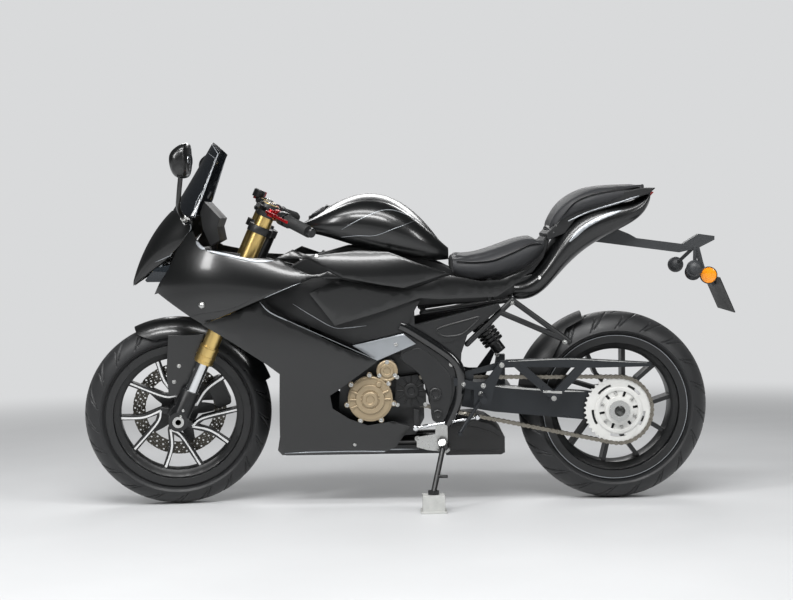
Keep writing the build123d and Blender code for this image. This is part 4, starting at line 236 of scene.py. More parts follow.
def smooth_path(points: Points, count: int, closed: bool = False) -> Array:
    """Points evenly spread along a curve through given ones.

    Args:
        points: what the curve goes through.
        count: how many points come back.
        closed: whether the curve returns to its start.

    Returns:
        A Catmull-Rom curve: on each stretch p(t) is the cubic whose tangent at an inner point is half the
        chord between its neighbours.
    """
    given = np.asarray(points, float)
    if closed:
        padded = np.concatenate([given[-1:], given, given[:2]])
    else:
        padded = np.concatenate([2 * given[:1] - given[1:2], given, 2 * given[-1:] - given[-2:-1]])
    spans = len(padded) - 3
    t = np.linspace(0, spans, count, endpoint=not closed)
    i = np.minimum(t.astype(int), spans - 1)
    f = (t - i)[:, None]
    a, b, c, d = padded[i], padded[i + 1], padded[i + 2], padded[i + 3]
    return b + f * (c - a) / 2 + f**2 * (a - 2.5 * b + 2 * c - d / 2) + f**3 * ((d - a) / 2 + 1.5 * (b - c))


def tube(path: Points, radius: float | Array, sides: int = 14, closed: bool = False) -> Skin:
    """Round tube along a path.

    Args:
        path: points of the centre line.
        radius: one radius or one for each point.
        sides: faces round the tube.
        closed: whether the path returns to its start.

    Returns:
        Points p + r (cos a n + sin a b), where n and b are square to the path's tangent, and closed ends.
    """
    centre = np.asarray(path, float)
    if closed:
        tangent = unit(np.roll(centre, -1, 0) - np.roll(centre, 1, 0))
    else:
        tangent = unit(np.gradient(centre, axis=0))
    spread = np.abs(tangent).max(axis=0)
    reference = np.eye(3)[int(np.argmin(spread))]
    normal = unit(np.cross(tangent, reference))
    other = np.cross(tangent, normal)
    angle = np.linspace(0, TURN, sides, endpoint=False)
    size = np.broadcast_to(np.asarray(radius, float), (len(centre),))[:, None, None]
    ring = np.cos(angle)[None, :, None] * normal[:, None] + np.sin(angle)[None, :, None] * other[:, None]
    skin = grid(centre[:, None] + size * ring, round_u=closed, round_v=True)
    return skin if closed else capped(skin, sides)


def slab(outline: Points, right: float, left: float) -> Skin:
    """Side outline carried from one place across the bike to another.

    Args:
        outline: pairs of X and Z, in order.
        right: place of one face along Y.
        left: place of the other face.

    Returns:
        A closed prism.
    """
    pairs = np.asarray(outline, float)
    rows = [np.stack([pairs[:, 0], np.full(len(pairs), y), pairs[:, 1]], -1) for y in (right, left)]
    return capped(grid(np.stack(rows), round_v=True), len(pairs))


def aimed(origin: Sequence[float], direction: Sequence[float]) -> Array:
    """Matrix that carries the Y axis to a direction and the origin to a point."""
    along = unit(np.asarray(direction, float))
    reference = np.array([0.0, 0.0, 1.0]) if abs(along[2]) < 0.9 else np.array([1.0, 0.0, 0.0])
    side = unit(np.cross(along, reference))
    return framed(side, along, np.cross(side, along), origin)


def button(radius: float, height: float, steps: int = 16, recess: float = 0.45) -> Skin:
    """Round screw head on the Y axis, pointing along +Y, with a hollow in its middle."""
    edge = min(height, radius) * 0.3
    profile = [(radius, 0), (radius, height - edge), (radius - edge, height), (radius * recess, height),
               (radius * recess * 0.9, height * 0.45), (0, height * 0.45)]
    return spun(profile, steps)


def linked(name: str, data: bpy.types.ID) -> bpy.types.Object:
    """New object of the scene that shows the given data."""
    thing = bpy.data.objects.new(name, data)
    bpy.context.scene.collection.objects.link(thing)
    return thing


def welded(mesh: bpy.types.Mesh, outward: bool = True) -> None:
    """Joins a mesh's doubled vertices and, unless told otherwise, turns its normals outward."""
    made = bmesh.new()
    made.from_mesh(mesh)
    bmesh.ops.remove_doubles(made, verts=made.verts, dist=WELD_DISTANCE)
    if outward:
        bmesh.ops.recalc_face_normals(made, faces=made.faces)
    made.to_mesh(mesh)
    made.free()


def shaded(mesh: bpy.types.Mesh, sharp: bool = True) -> None:
    """Shades a mesh smooth, but for its sharp edges when those are kept."""
    mesh.polygons.foreach_set("use_smooth", np.ones(len(mesh.polygons), bool))
    if sharp:
        mesh.set_sharp_from_angle(angle=SHARP_ANGLE)


def vectors_of(vertices: bpy.types.MeshVertices, key: str = "co") -> Array:
    """Places or normals of vertices, one row each."""
    flat = np.empty(len(vertices) * 3)
    vertices.foreach_get(key, flat)
    return flat.reshape(-1, 3)


def mesh_of(name: str, skin: Skin, place: Array = PARKED) -> bpy.types.Object:
    """Object with a skin's mesh, placed by a matrix in millimetres and then put into metres."""
    mesh = bpy.data.meshes.new(name)
    mesh.from_pydata((skin.moved(place).points * MM).tolist(), [], skin.faces)
    welded(mesh)
    shaded(mesh)
    return linked(name, mesh)


def round_edges(thing: bpy.types.Object, width: float, segments: int = 2) -> bpy.types.Object:
    """Rounds a piece's sharp edges, by a width in millimetres."""
    bevel = thing.modifiers.new("edges", "BEVEL")
    bevel.width = width * MM
    bevel.segments = segments
    bevel.limit_method = "ANGLE"
    bevel.angle_limit = SHARP_ANGLE
    bevel.use_clamp_overlap = True
    bevel.harden_normals = True
    return thing


# Finishes

def linear(colour: str) -> tuple[float, float, float, float]:
    """Linear colour of an sRGB hex value: c / 12.92 below 0.04045, else ((c + 0.055) / 1.055) to the 2.4."""
    parts = [int(colour[i:i + 2], 16) / 255 for i in (1, 3, 5)]
    red, green, blue = [c / 12.92 if c <= 0.04045 else ((c + 0.055) / 1.055) ** 2.4 for c in parts]
    return red, green, blue, 1.0


def emptied(owner: bpy.types.Material | bpy.types.World) -> bpy.types.NodeTree:
    """Node tree of a material or a world, without its first nodes."""
    owner.use_nodes = True
    owner.node_tree.nodes.clear()
    return owner.node_tree


def add_node(tree: bpy.types.NodeTree, kind: str, settings: dict[str, Any] | None = None,
             links: dict[str, Any] | None = None) -> bpy.types.Node:
    """Adds one node with its settings and links.

    Args:
        tree: node tree that it joins.
        kind: Blender's name of the node's type.
        settings: values by property or input name.
        links: output sockets by input name.

    Returns:
        The new node.
    """
    node = tree.nodes.new(kind)
    for key, value in (settings or {}).items():
        if hasattr(node, key):
            setattr(node, key, value)
        else:
            node.inputs[key].default_value = value
    for key, socket in (links or {}).items():
        tree.links.new(socket, node.inputs[key])
    return node


class Relief(Enum):
    """How a surface was made, which sets the pattern of its fine relief."""

    LACQUERED = "lacquered"
    MOULDED = "moulded"
    CAST = "cast"
    BRUSHED = "brushed"
    LEATHER = "leather"
    ROUGH = "rough"


@dataclass(frozen=True)
class Finish:
    """One finish: what it is made of, how it was made, and what that shows."""

    name: str
    colour: str
    shade: str
    roughness: float
    metallic: float = 0.0
    ior: float = 1.5
    coat: float = 0.0
    coat_roughness: float = 0.05
    relief: Relief = Relief.LACQUERED
    grain: float = 1.0
    depth: float = 0.0
    patch: float = 140.0
    spread: float = 0.06
    sheen: float = 0.0
    clear: float = 0.0
    stretch: tuple[float, float, float] = (1.0, 1.0, 1.0)

    def material(self) -> bpy.types.Material:
        """The finish as a node material, made once."""
        known = bpy.data.materials.get(self.name)
        if known:
            return known
        made = bpy.data.materials.new(self.name)
        tree = emptied(made)
        place = add_node(tree, "ShaderNodeTexCoord").outputs["Object"]
        patches = add_node(tree, "ShaderNodeTexNoise", {"Scale": 1000 / self.patch, "Detail": 3.0},
                           {"Vector": place}).outputs["Fac"]
        tint = add_node(tree, "ShaderNodeMix", {"data_type": "RGBA"}, {"Factor": patches})
        tint.inputs[6].default_value = linear(self.colour)
        tint.inputs[7].default_value = linear(self.shade)
        rough = add_node(tree, "ShaderNodeMapRange", {
            "From Min": 0.3, "From Max": 0.7, "To Min": max(self.roughness - self.spread, 0.01),
            "To Max": min(self.roughness + self.spread, 1.0)}, {"Value": patches})
        shader = add_node(tree, "ShaderNodeBsdfPrincipled", {
            "Metallic": self.metallic, "Coat Weight": self.coat, "Coat Roughness": self.coat_roughness,
            "Sheen Weight": self.sheen, "Transmission Weight": self.clear},
            {"Base Color": tint.outputs[2], "Roughness": rough.outputs["Result"]})
        if self.metallic < 1:
            shader.inputs["IOR"].default_value = self.ior
        if self.depth:
            bump = add_node(tree, "ShaderNodeBump", {"Distance": self.depth * MM, "Strength": 1.0},
                            {"Height": self.height(tree, place)})
            tree.links.new(bump.outputs["Normal"], shader.inputs["Normal"])
        add_node(tree, "ShaderNodeOutputMaterial", links={"Surface": shader.outputs["BSDF"]})
        return made

    def height(self, tree: bpy.types.NodeTree, place: bpy.types.NodeSocket) -> bpy.types.NodeSocket:
        """Height field of the fine relief, its features as wide as the grain in millimetres."""
        scale = 1000 / self.grain
        spot = add_node(tree, "ShaderNodeMapping", {"Scale": self.stretch}, {"Vector": place}).outputs[0]
        if self.relief is Relief.LEATHER:
            return add_node(tree, "ShaderNodeTexVoronoi", {"Scale": scale, "feature": "DISTANCE_TO_EDGE"},
                            {"Vector": spot}).outputs["Distance"]
        if self.relief is Relief.MOULDED:
            return add_node(tree, "ShaderNodeTexVoronoi", {"Scale": scale, "feature": "SMOOTH_F1"},
                            {"Vector": spot}).outputs["Distance"]
        detail = {Relief.ROUGH: 9.0, Relief.CAST: 5.0, Relief.BRUSHED: 2.0, Relief.LACQUERED: 1.0}
        return add_node(tree, "ShaderNodeTexNoise", {"Scale": scale, "Detail": detail[self.relief]},
                        {"Vector": spot}).outputs["Fac"]


# Satin lacquer over ABS, sprayed and cleared: deep black with soft, wide highlights
PAINT = Finish("lacquered_abs", "#070808", "#0a0b0c", 0.3, coat=0.5, coat_roughness=0.12, grain=0.8,
               depth=0.004, patch=260, spread=0.03)
# Glossy lacquer over ABS, polished: nearly a black mirror
GLOSS = Finish("polished_lacquered_abs", "#08090a", "#0c0d0e", 0.16, coat=0.9, coat_roughness=0.05, grain=0.8,
               depth=0.003, patch=260, spread=0.02)
# Polypropylene moulded against an etched tool: dark grey-black with a fine pebble that kills the gloss
PLASTIC = Finish("moulded_polypropylene", "#0d0e0f", "#121314", 0.5, relief=Relief.MOULDED, grain=1.4,
                 depth=0.05, patch=90, spread=0.07)
# Polypropylene moulded grey, with the same pebble
GREY_PLASTIC = Finish("moulded_polypropylene_grey", "#2a2c2e", "#323436", 0.48, relief=Relief.MOULDED,
                      grain=1.4, depth=0.05, patch=90, spread=0.06)
# Die-cast aluminium, powder coated satin black: slight orange peel
CASTING = Finish("powder_coated_aluminium", "#0e0f10", "#141516", 0.4, relief=Relief.CAST, grain=1.6,
                 depth=0.05, patch=70, spread=0.08, coat=0.15, coat_roughness=0.3)
# Aluminium extrusion, anodised grey and satin blasted
GREY_ARM = Finish("anodised_aluminium_grey", "#25272a", "#2f3235", 0.34, metallic=0.5, relief=Relief.CAST,
                  grain=1.2, depth=0.03, patch=90, spread=0.07)
# Aluminium tube, gold anodised and turned: warm metal with fine rings
GOLD = Finish("anodised_aluminium_gold", "#dcbc74", "#e6ca88", 0.34, metallic=1.0, relief=Relief.BRUSHED,
              grain=1.0, depth=0.002, patch=200, spread=0.03)
# Steel tube, hard chromed and ground: a bright mirror
CHROME = Finish("hard_chromed_steel", "#d7d9db", "#e2e4e6", 0.08, metallic=1.0, relief=Relief.BRUSHED,
                grain=1.0, depth=0.003, patch=80, spread=0.03)
# Steel, machined and zinc plated: bright and a little scratched. It also makes the painted highlight strips
# along the swingarm's upper bevels.
ZINC = Finish("zinc_plated_steel", "#b4b5b4", "#c8c8c5", 0.3, metallic=1.0, relief=Relief.BRUSHED, grain=0.7,
              depth=0.01, patch=20, spread=0.1)
# Aluminium face, milled after painting: near white with a fine cutter pattern
MILLED = Finish("milled_aluminium", "#e3e4e4", "#efefee", 0.3, metallic=0.75, relief=Relief.BRUSHED,
                grain=0.6, depth=0.01, patch=40, spread=0.06)
# Ground stainless disc: dull circular grinding
DISC_STEEL = Finish("ground_stainless_steel", "#45433e", "#56534c", 0.36, metallic=1.0, relief=Relief.BRUSHED,
                    grain=0.9, depth=0.02, patch=30, spread=0.08)
# Aluminium sprocket, hard anodised pale: chalky off-white
PALE = Finish("anodised_aluminium_pale", "#c9c9c6", "#d6d6d3", 0.42, metallic=0.25, relief=Relief.CAST,
              grain=0.8, depth=0.02, patch=40, spread=0.06)
# Magnesium covers, painted pale bronze: fine metallic paint
BRONZE = Finish("painted_magnesium_bronze", "#9a8a70", "#ab9a7f", 0.38, metallic=0.6, relief=Relief.CAST,
                grain=1.2, depth=0.04, patch=30, spread=0.08)
# Silver grey paint on ABS: satin metallic. The same finish makes painted highlights: pale strips along the
# edges of the screen, rear rim, vents, tank recess, tail, belly pan and front fender.
SILVER_AND_PAINTED_HIGHLIGHT = Finish("silver_paint_and_painted_highlight", "#8e9296", "#9ca0a4", 0.33, metallic=0.55, coat=0.4, coat_roughness=0.2,
                grain=0.6, depth=0.004, patch=120, spread=0.04)
# Tyre rubber, vulcanised in a mould: dull with faint grey bloom
RUBBER = Finish("vulcanised_rubber", "#121314", "#1b1c1e", 0.5, relief=Relief.ROUGH, grain=2.2, depth=0.03,
                patch=60, spread=0.08, sheen=0.08)
# Grip rubber, moulded: dull
GRIP = Finish("moulded_rubber", "#131414", "#1c1d1d", 0.7, relief=Relief.MOULDED, grain=1.8, depth=0.12,
              patch=40, spread=0.06)
# Vinyl on foam, embossed like leather and sewn: its own near-black, raised a little toward grey as painted
# sheen.
VINYL = Finish("embossed_vinyl", "#1c1d1f", "#232427", 0.56, relief=Relief.LEATHER, grain=1.6, depth=0.03,
               patch=110, spread=0.05, sheen=0.05)
# Vinyl on foam, ribbed and wiped glossier at the seams
VINYL_PLAIN = Finish("smooth_vinyl", "#141516", "#1b1c1e", 0.42, relief=Relief.LEATHER, grain=1.2, depth=0.04,
                     patch=80, spread=0.06)
# Polycarbonate lens, polished, tinted dark as painted shade: its colour stands for the dark recess behind it.
LENS = Finish("clear_polycarbonate", "#23272b", "#2b3035", 0.03, ior=1.58, clear=0.3, patch=200,
              spread=0.01)
# Smoked acrylic screen, bent: dark grey glass with a clean gloss
SMOKED = Finish("smoked_acrylic", "#1b1e21", "#202327", 0.06, ior=1.49, clear=0.45, coat=0.5, patch=300,
                spread=0.01)
# Red acrylic lens
RED_LENS = Finish("red_acrylic", "#8c0d0a", "#a1120d", 0.12, ior=1.49, coat=0.6, patch=60, spread=0.03)
# Amber acrylic reflector
AMBER = Finish("amber_acrylic", "#f08a0c", "#f79a1a", 0.18, ior=1.49, coat=0.5, relief=Relief.MOULDED,
               grain=2.5, depth=0.05, patch=30, spread=0.04)
# Red anodised lever, milled
RED_METAL = Finish("anodised_aluminium_red", "#a3161c", "#b61e23", 0.28, metallic=0.85, relief=Relief.BRUSHED,
                   grain=0.8, depth=0.01, patch=30, spread=0.05)
# Chain steel, oiled: brown-grey metal
CHAIN = Finish("oiled_steel", "#76726a", "#918c82", 0.32, metallic=1.0, relief=Relief.CAST, grain=0.8,
               depth=0.02, patch=12, spread=0.1)
# Exhaust box in heat-proof paint: sooty black
HOT = Finish("heat_painted_steel", "#0d0d0d", "#131313", 0.42, relief=Relief.CAST, grain=2.0, depth=0.06,
             patch=60, spread=0.1, coat=0.1, coat_roughness=0.35)
# Cast stone block: pale grey with pores
STONE = Finish("cast_concrete", "#9b9c9a", "#b9bab7", 0.8, relief=Relief.ROUGH, grain=6.0, depth=0.5,
               patch=14, spread=0.1)
# Brushed and blacked radiator fins
FIN = Finish("blacked_aluminium", "#0f1011", "#17181a", 0.5, metallic=0.3, relief=Relief.BRUSHED, grain=1.5,
             depth=0.05, patch=50, spread=0.08)
# Silvered mirror glass
MIRROR_GLASS = Finish("silvered_glass", "#c9cdd1", "#cfd3d6", 0.03, metallic=1.0, patch=300, spread=0.01)

NODE_FINISHES: dict[str, Finish] = {
    "front_tyre": RUBBER, "rear_tyre": RUBBER, "front_rim": CASTING, "rear_rim": CASTING,
    "front_disc": DISC_STEEL, "rear_axle": ZINC, "front_axle": ZINC, "rear_sprocket": PALE,
    "fork_tubes": GOLD, "stanchions": CHROME, "fork_bottoms": CASTING, "triple_clamps": CASTING,
    "handlebars": CASTING, "grips": GRIP, "levers": RED_METAL, "front_fender": PAINT,
    "front_caliper": CASTING, "side_stand": CASTING, "stand_bracket": ZINC, "stand_block": STONE,
    "engine_block": CASTING, "engine_covers": BRONZE, "sprocket_guard": PLASTIC, "exhaust": HOT,
    "radiator": FIN, "main_frame": CASTING, "swingarm": GREY_ARM, "shock_absorber": CASTING,
    "rear_hugger": PLASTIC, "drive_chain": CHAIN, "subframe": CASTING, "footrests": GREY_ARM,
    "nose_cowl": PAINT, "windscreen": SMOKED, "upper_fairings": PAINT, "lower_fairings": PAINT,
    "vent_panels": PLASTIC, "tank_side_covers": PAINT, "side_panels": PAINT, "trim_panels": SILVER_AND_PAINTED_HIGHLIGHT,
    "headlights": LENS, "belly_pan": PLASTIC, "fuel_tank": PAINT, "rider_seat": VINYL,
    "passenger_seat": VINYL, "tail_cowl": PAINT, "tail_lamp": RED_LENS, "plate_holder": GREY_PLASTIC,
    "number_plate": PLASTIC, "mirrors": PLASTIC, "instruments": PLASTIC,
}
NODE_EDGES: dict[str, float] = {
    "front_rim": 1.5, "rear_rim": 1.5, "fork_bottoms": 2.0, "triple_clamps": 2.0, "front_caliper": 3.0,
    "swingarm": 3.0, "main_frame": 4.0, "footrests": 2.0, "exhaust": 8.0, "engine_block": 4.0,
    "side_panels": 0.8, "upper_fairings": 0.8, "lower_fairings": 0.8, "tank_side_covers": 0.8,
    "vent_panels": 0.8, "trim_panels": 0.8, "nose_cowl": 0.8, "plate_holder": 3.0, "stand_block": 1.0,
    "handlebars": 1.5, "levers": 1.0, "windscreen": 0.8, "instruments": 9.0,
}


def dress_nodes() -> None:
    """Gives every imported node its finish, and rounds the edges of those that are cast or moulded."""
    for name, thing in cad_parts.items():
        finish = NODE_FINISHES[name]
        if thing.data.materials:
            thing.data.materials[0] = finish.material()
        else:
            thing.data.materials.append(finish.material())
        width = NODE_EDGES.get(name)
        if width:
            weld = thing.modifiers.new("weld", "WELD")
            weld.merge_threshold = NODE_WELD_DISTANCE
            round_edges(thing, width)
    log.info("dressed %d nodes", len(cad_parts))


# Studio

@dataclass(frozen=True)
class Studio:
    """Camera, lamps and floor."""

    camera_x: float = 704.3
    camera_distance: float = 3887.9
    camera_height: float = 946.7
    yaw: float = 0.16066
    pitch: float = 4.2493
    roll: float = -0.86614
    focal_pixels: float = 1198.4
    picture_width: float = 793.0
    sensor: float = 36.0
    floor_radius: float = 40.0
    near_fade: float = 2.2
    far_fade: float = 7.0
    pale: str = "#d9dadb"
    floor_colour: str = "#c4c5c6"
    floor_shade: str = "#cfd0d1"
    floor_roughness: float = 0.55
    fill: float = 0.42
    gloss_fill: float = 0.1

    def camera(self) -> None:
        """Places the camera where the photograph was taken from, measured against the upright bike.

        The view direction turns by yaw about Z, dips by pitch and rolls, and then leans with the bike.
        """
        right, ahead, up = turn_about((0, 0, 1), self.yaw)[:3, :3]
        pitch, roll = math.radians(self.pitch), math.radians(self.roll)
        forward = math.cos(pitch) * ahead - math.sin(pitch) * up
        above = math.sin(pitch) * ahead + math.cos(pitch) * up
        across = math.cos(roll) * right + math.sin(roll) * above
        above = math.cos(roll) * above - math.sin(roll) * right
        spot = (self.camera_x, -self.camera_distance, self.camera_height)
        world = PARKED @ framed(across, above, -forward, spot)
        world[:3, 3] *= MM
        data = bpy.data.cameras.new("camera")
        data.sensor_width = self.sensor
        data.lens = self.focal_pixels / self.picture_width * self.sensor
        thing = linked("camera", data)
        thing.matrix_world = Matrix(world.tolist())
        bpy.context.scene.camera = thing

    def lamp(self, name: str, place: Sequence[float], aim: Sequence[float], size: tuple[float, float],
             power: float) -> None:
        """Adds one soft rectangular lamp that faces a point, in metres and watts."""
        data = bpy.data.lights.new(name, "AREA")
        data.shape = "RECTANGLE"
        data.size, data.size_y = size
        data.energy = power
        thing = linked(name, data)
        back = unit(np.asarray(place, float) - np.asarray(aim, float))
        side = unit(np.cross((0.0, 1.0, 0.0) if abs(back[2]) > 0.9 else (0.0, 0.0, 1.0), back))
        thing.matrix_world = Matrix(framed(side, np.cross(back, side), back, place).tolist())

    def lamps(self) -> None:
        """Soft boxes above, at the camera's side and behind, as the photograph's highlights show."""
        self.lamp("over", (-0.9, -1.6, 3.0), (-0.7, 0.0, 0.4), (3.4, 0.5), 75)
        self.lamp("high_left", (-1.0, -3.3, 3.1), (-0.8, 0.0, 0.4), (2.8, 0.6), 120)
        self.lamp("front_left", (-3.4, -2.6, 2.2), (-0.9, 0.0, 0.4), (0.6, 1.6), 60)
        self.lamp("rear_left", (2.6, -2.8, 2.0), (-0.3, 0.0, 0.3), (0.6, 1.4), 40)
        self.lamp("far_side", (-0.7, 3.0, 2.4), (-0.7, 0.0, 0.4), (3.2, 0.8), 45)

    def world(self) -> None:
        """Pale surroundings for the eye and through glass, a dimmer even light on the bike, and a dimmer one
        still in gloss.
        """
        made = bpy.data.worlds.new("studio")
        bpy.context.scene.world = made
        tree = emptied(made)
        path = add_node(tree, "ShaderNodeLightPath")
        seen = add_node(tree, "ShaderNodeMath", {"operation": "MAXIMUM"},
                        {0: path.outputs["Is Camera Ray"], 1: path.outputs["Is Transmission Ray"]})
        plain = add_node(tree, "ShaderNodeBackground", {"Color": linear(self.pale), "Strength": 1.0})
        dim = add_node(tree, "ShaderNodeMath", {"operation": "MULTIPLY_ADD"},
                       {0: path.outputs["Is Glossy Ray"]})
        dim.inputs[1].default_value = self.gloss_fill - self.fill
        dim.inputs[2].default_value = self.fill
        light = add_node(tree, "ShaderNodeBackground", {"Color": linear(self.pale)},
                         {"Strength": dim.outputs[0]})
        mixed = add_node(tree, "ShaderNodeMixShader", links={0: seen.outputs[0], 1: light.outputs[0],
                                                              2: plain.outputs[0]})
        add_node(tree, "ShaderNodeOutputWorld", links={"Surface": mixed.outputs[0]})

    def floor(self) -> None:
        """A wide pale floor that fades into the surroundings far from the bike."""
        radius = np.linspace(0, 1, 12)[1:] ** 2 * self.floor_radius / MM
        angle = np.linspace(0, TURN, 48, endpoint=False)
        x, y = radius[:, None] * np.cos(angle), radius[:, None] * np.sin(angle)
        z = np.full_like(x, STANCE.ground())
        skin = grid(np.stack([x - STANCE.wheelbase / 2, y, z], -1), round_v=True)
        skin.faces.append(tuple(range(len(angle))))
        thing = mesh_of("floor", skin, np.eye(4))
        made = bpy.data.materials.new("polished_screed")
        tree = emptied(made)
        place = add_node(tree, "ShaderNodeTexCoord").outputs["Object"]
        clouds = add_node(tree, "ShaderNodeTexNoise", {"Scale": 2.2, "Detail": 6.0}, {"Vector": place})
        tint = add_node(tree, "ShaderNodeMix", {"data_type": "RGBA"}, {"Factor": clouds.outputs["Fac"]})
        tint.inputs[6].default_value = linear(self.floor_colour)
        tint.inputs[7].default_value = linear(self.floor_shade)
        ground = add_node(tree, "ShaderNodeBsdfPrincipled", {"Roughness": self.floor_roughness},
                          {"Base Color": tint.outputs[2]})
        pale = add_node(tree, "ShaderNodeEmission", {"Color": linear(self.pale), "Strength": 1.0})
        reach = add_node(tree, "ShaderNodeVectorMath", {"operation": "LENGTH"}, {0: place})
        far = add_node(tree, "ShaderNodeMapRange", {"From Min": self.near_fade, "From Max": self.far_fade,
                                                    "interpolation_type": "SMOOTHSTEP"},
                       {"Value": reach.outputs["Value"]})
        mixed = add_node(tree, "ShaderNodeMixShader", links={0: far.outputs[0], 1: ground.outputs[0],
                                                              2: pale.outputs[0]})
        add_node(tree, "ShaderNodeOutputMaterial", links={"Surface": mixed.outputs[0]})
        thing.data.materials.append(made)

    def build(self) -> None:
        """Sets up the whole studio."""
        self.camera()
        self.lamps()
        self.world()
        self.floor()
        log.info("studio ready")


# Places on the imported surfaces

TREES: dict[tuple[str, ...], BVHTree] = {}
SIDES = (-1, 1)


def tree_of(names: Sequence[str]) -> BVHTree:
    """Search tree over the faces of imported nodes, made once."""
    key = tuple(names)
    if key not in TREES:
        points: list[Array] = []
        faces: list[list[int]] = []
        count = 0
        for name in names:
            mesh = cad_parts[name].data
            corners = np.empty(len(mesh.loops), int)
            mesh.loops.foreach_get("vertex_index", corners)
            points.append(vectors_of(mesh.vertices))
            faces += (corners.reshape(-1, 3) + count).tolist()
            count += len(mesh.vertices)
        TREES[key] = BVHTree.FromPolygons(np.concatenate(points).tolist(), faces)
    return TREES[key]


def cast(names: Sequence[str], start: Sequence[float], way: Sequence[float]) -> tuple[Array, Array] | None:
    """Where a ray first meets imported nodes, in the upright bike frame.

    Args:
        names: nodes that it may meet.
        start: where it starts, in millimetres.
        way: its direction.

    Returns:
        The point and the normal that faces the ray, or None when it meets nothing.
    """
    origin = (PARKED @ np.append(start, 1.0))[:3] * MM
    ahead = PARKED[:3, :3] @ np.asarray(way, float)
    place, normal, _, _ = tree_of(names).ray_cast(origin.tolist(), ahead.tolist())
    if place is None:
        return None
    back = np.linalg.inv(PARKED)
    facing = np.array(normal) * (-1 if np.dot(normal, ahead) > 0 else 1)
    return (back @ np.append(np.array(place) / MM, 1.0))[:3], back[:3, :3] @ facing


def landing(names: Sequence[str], spots: Points, side: int = -1) -> tuple[Array, Array]:
    """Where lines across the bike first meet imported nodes.

    Args:
        names: nodes that a line may meet.
        spots: pairs of X and Z in the upright bike frame, in millimetres.
        side: -1 to come from the left, 1 from the right.

    Returns:
        Points and outward normals in the upright bike frame, of the lines that meet something.
    """
    hits = [cast(names, (x, side * REACH, z), (0.0, -side, 0.0)) for x, z in np.asarray(spots, float)]
    found = [hit for hit in hits if hit]
    return (np.array([point for point, _ in found]).reshape(-1, 3),
            np.array([normal for _, normal in found]).reshape(-1, 3))


def ribbon(points: Array, normals: Array, width: float | Array, height: float) -> Skin:
    """Low strip laid along points of a surface.

    Args:
        points: centre line on the surface.
        normals: outward normals there.
        width: width of the strip, one or one for each point.
        height: how far it stands out; its foot sinks as deep.

    Returns:
        Rows of eight corners: p + w s b + h t n, with b square to the line and to the normal n.
    """
    across = unit(np.cross(unit(np.gradient(points, axis=0)), normals))
    section = np.array([(-0.5, -1.0), (-0.5, 0.45), (-0.4, 0.85), (-0.22, 1.0), (0.22, 1.0), (0.4, 0.85),
                        (0.5, 0.45), (0.5, -1.0)])
    size = np.broadcast_to(np.asarray(width, float), (len(points),))[:, None, None]
    rows = points[:, None] + across[:, None] * size * section[None, :, :1]
    return capped(grid(rows + normals[:, None] * height * section[None, :, 1:], round_v=True), len(section))


def laid(names: Sequence[str], route: Points, width: float, height: float, side: int = -1,
         count: int = 60) -> Skin:
    """Strip that follows packed surfaces under a smooth route of the side view, thinner at both ends."""
    points, normals = landing(names, smooth_path(route, count), side)
    if len(points) < 4:
        log.warning("no surface under the strip from %s", route[0])
        return Skin(np.zeros((0, 3)), [])
    taper = np.minimum(1, 0.3 + 4 * np.minimum(*(np.linspace(a, 1 - a, len(points)) for a in (0, 1))))
    smooth = np.copy(normals)
    smooth[1:-1] = (normals[:-2] + normals[1:-1] + normals[2:]) / 3
    return ribbon(points, unit(smooth), width * taper, height)


def trimmed(routes: Sequence[tuple[Sequence[str], Points, float]], height: float,
            sides: Sequence[int] = SIDES) -> Skin:
    """Strips of one height, each along a route given as its nodes, its points and its width."""
    return joined([laid(names, route, width, height, side) for names, route, width in routes
                   for side in sides])


def seated(names: Sequence[str], spots: Points, fitting: Skin, sides: Sequence[int] = (-1,)) -> Skin:
    """Copies of a fitting, which points along +Y, set on packed surfaces with its foot at each spot."""
    copies = []
    for side in sides:
        points, normals = landing(names, spots, side)
        copies += [fitting.moved(aimed(point, normal)) for point, normal in zip(points, normals)]
    return joined(copies)


@dataclass
class Assembly:
    """A group of pieces that belong together."""

    def add(self, name: str, skin: Skin, finish: Finish, slot: str, ride: Ride = Ride.CHASSIS,
            place: Array = PARKED, edge: float = 0.0, stands_for: Sequence[str] = ()) -> bpy.types.Object:
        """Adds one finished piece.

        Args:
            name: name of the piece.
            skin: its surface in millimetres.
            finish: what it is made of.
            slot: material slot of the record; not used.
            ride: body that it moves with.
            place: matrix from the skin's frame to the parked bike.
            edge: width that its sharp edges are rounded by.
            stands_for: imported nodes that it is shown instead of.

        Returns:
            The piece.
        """
        thing = mesh_of(name, skin, place)
        thing.data.materials.append(finish.material())
        if edge:
            round_edges(thing, edge)
        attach(thing, ride.value)
        if stands_for:
            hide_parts(*stands_for)
        log.info("built %s", name)
        return thing


# Wheels

@dataclass(frozen=True)
class Groove:
    """One groove of the tread, from the crown to the shoulder, in shares of the tread and of a repeat."""

    start: float
    end: float
    offset: float
    lean: float
    width: float
    depth: float


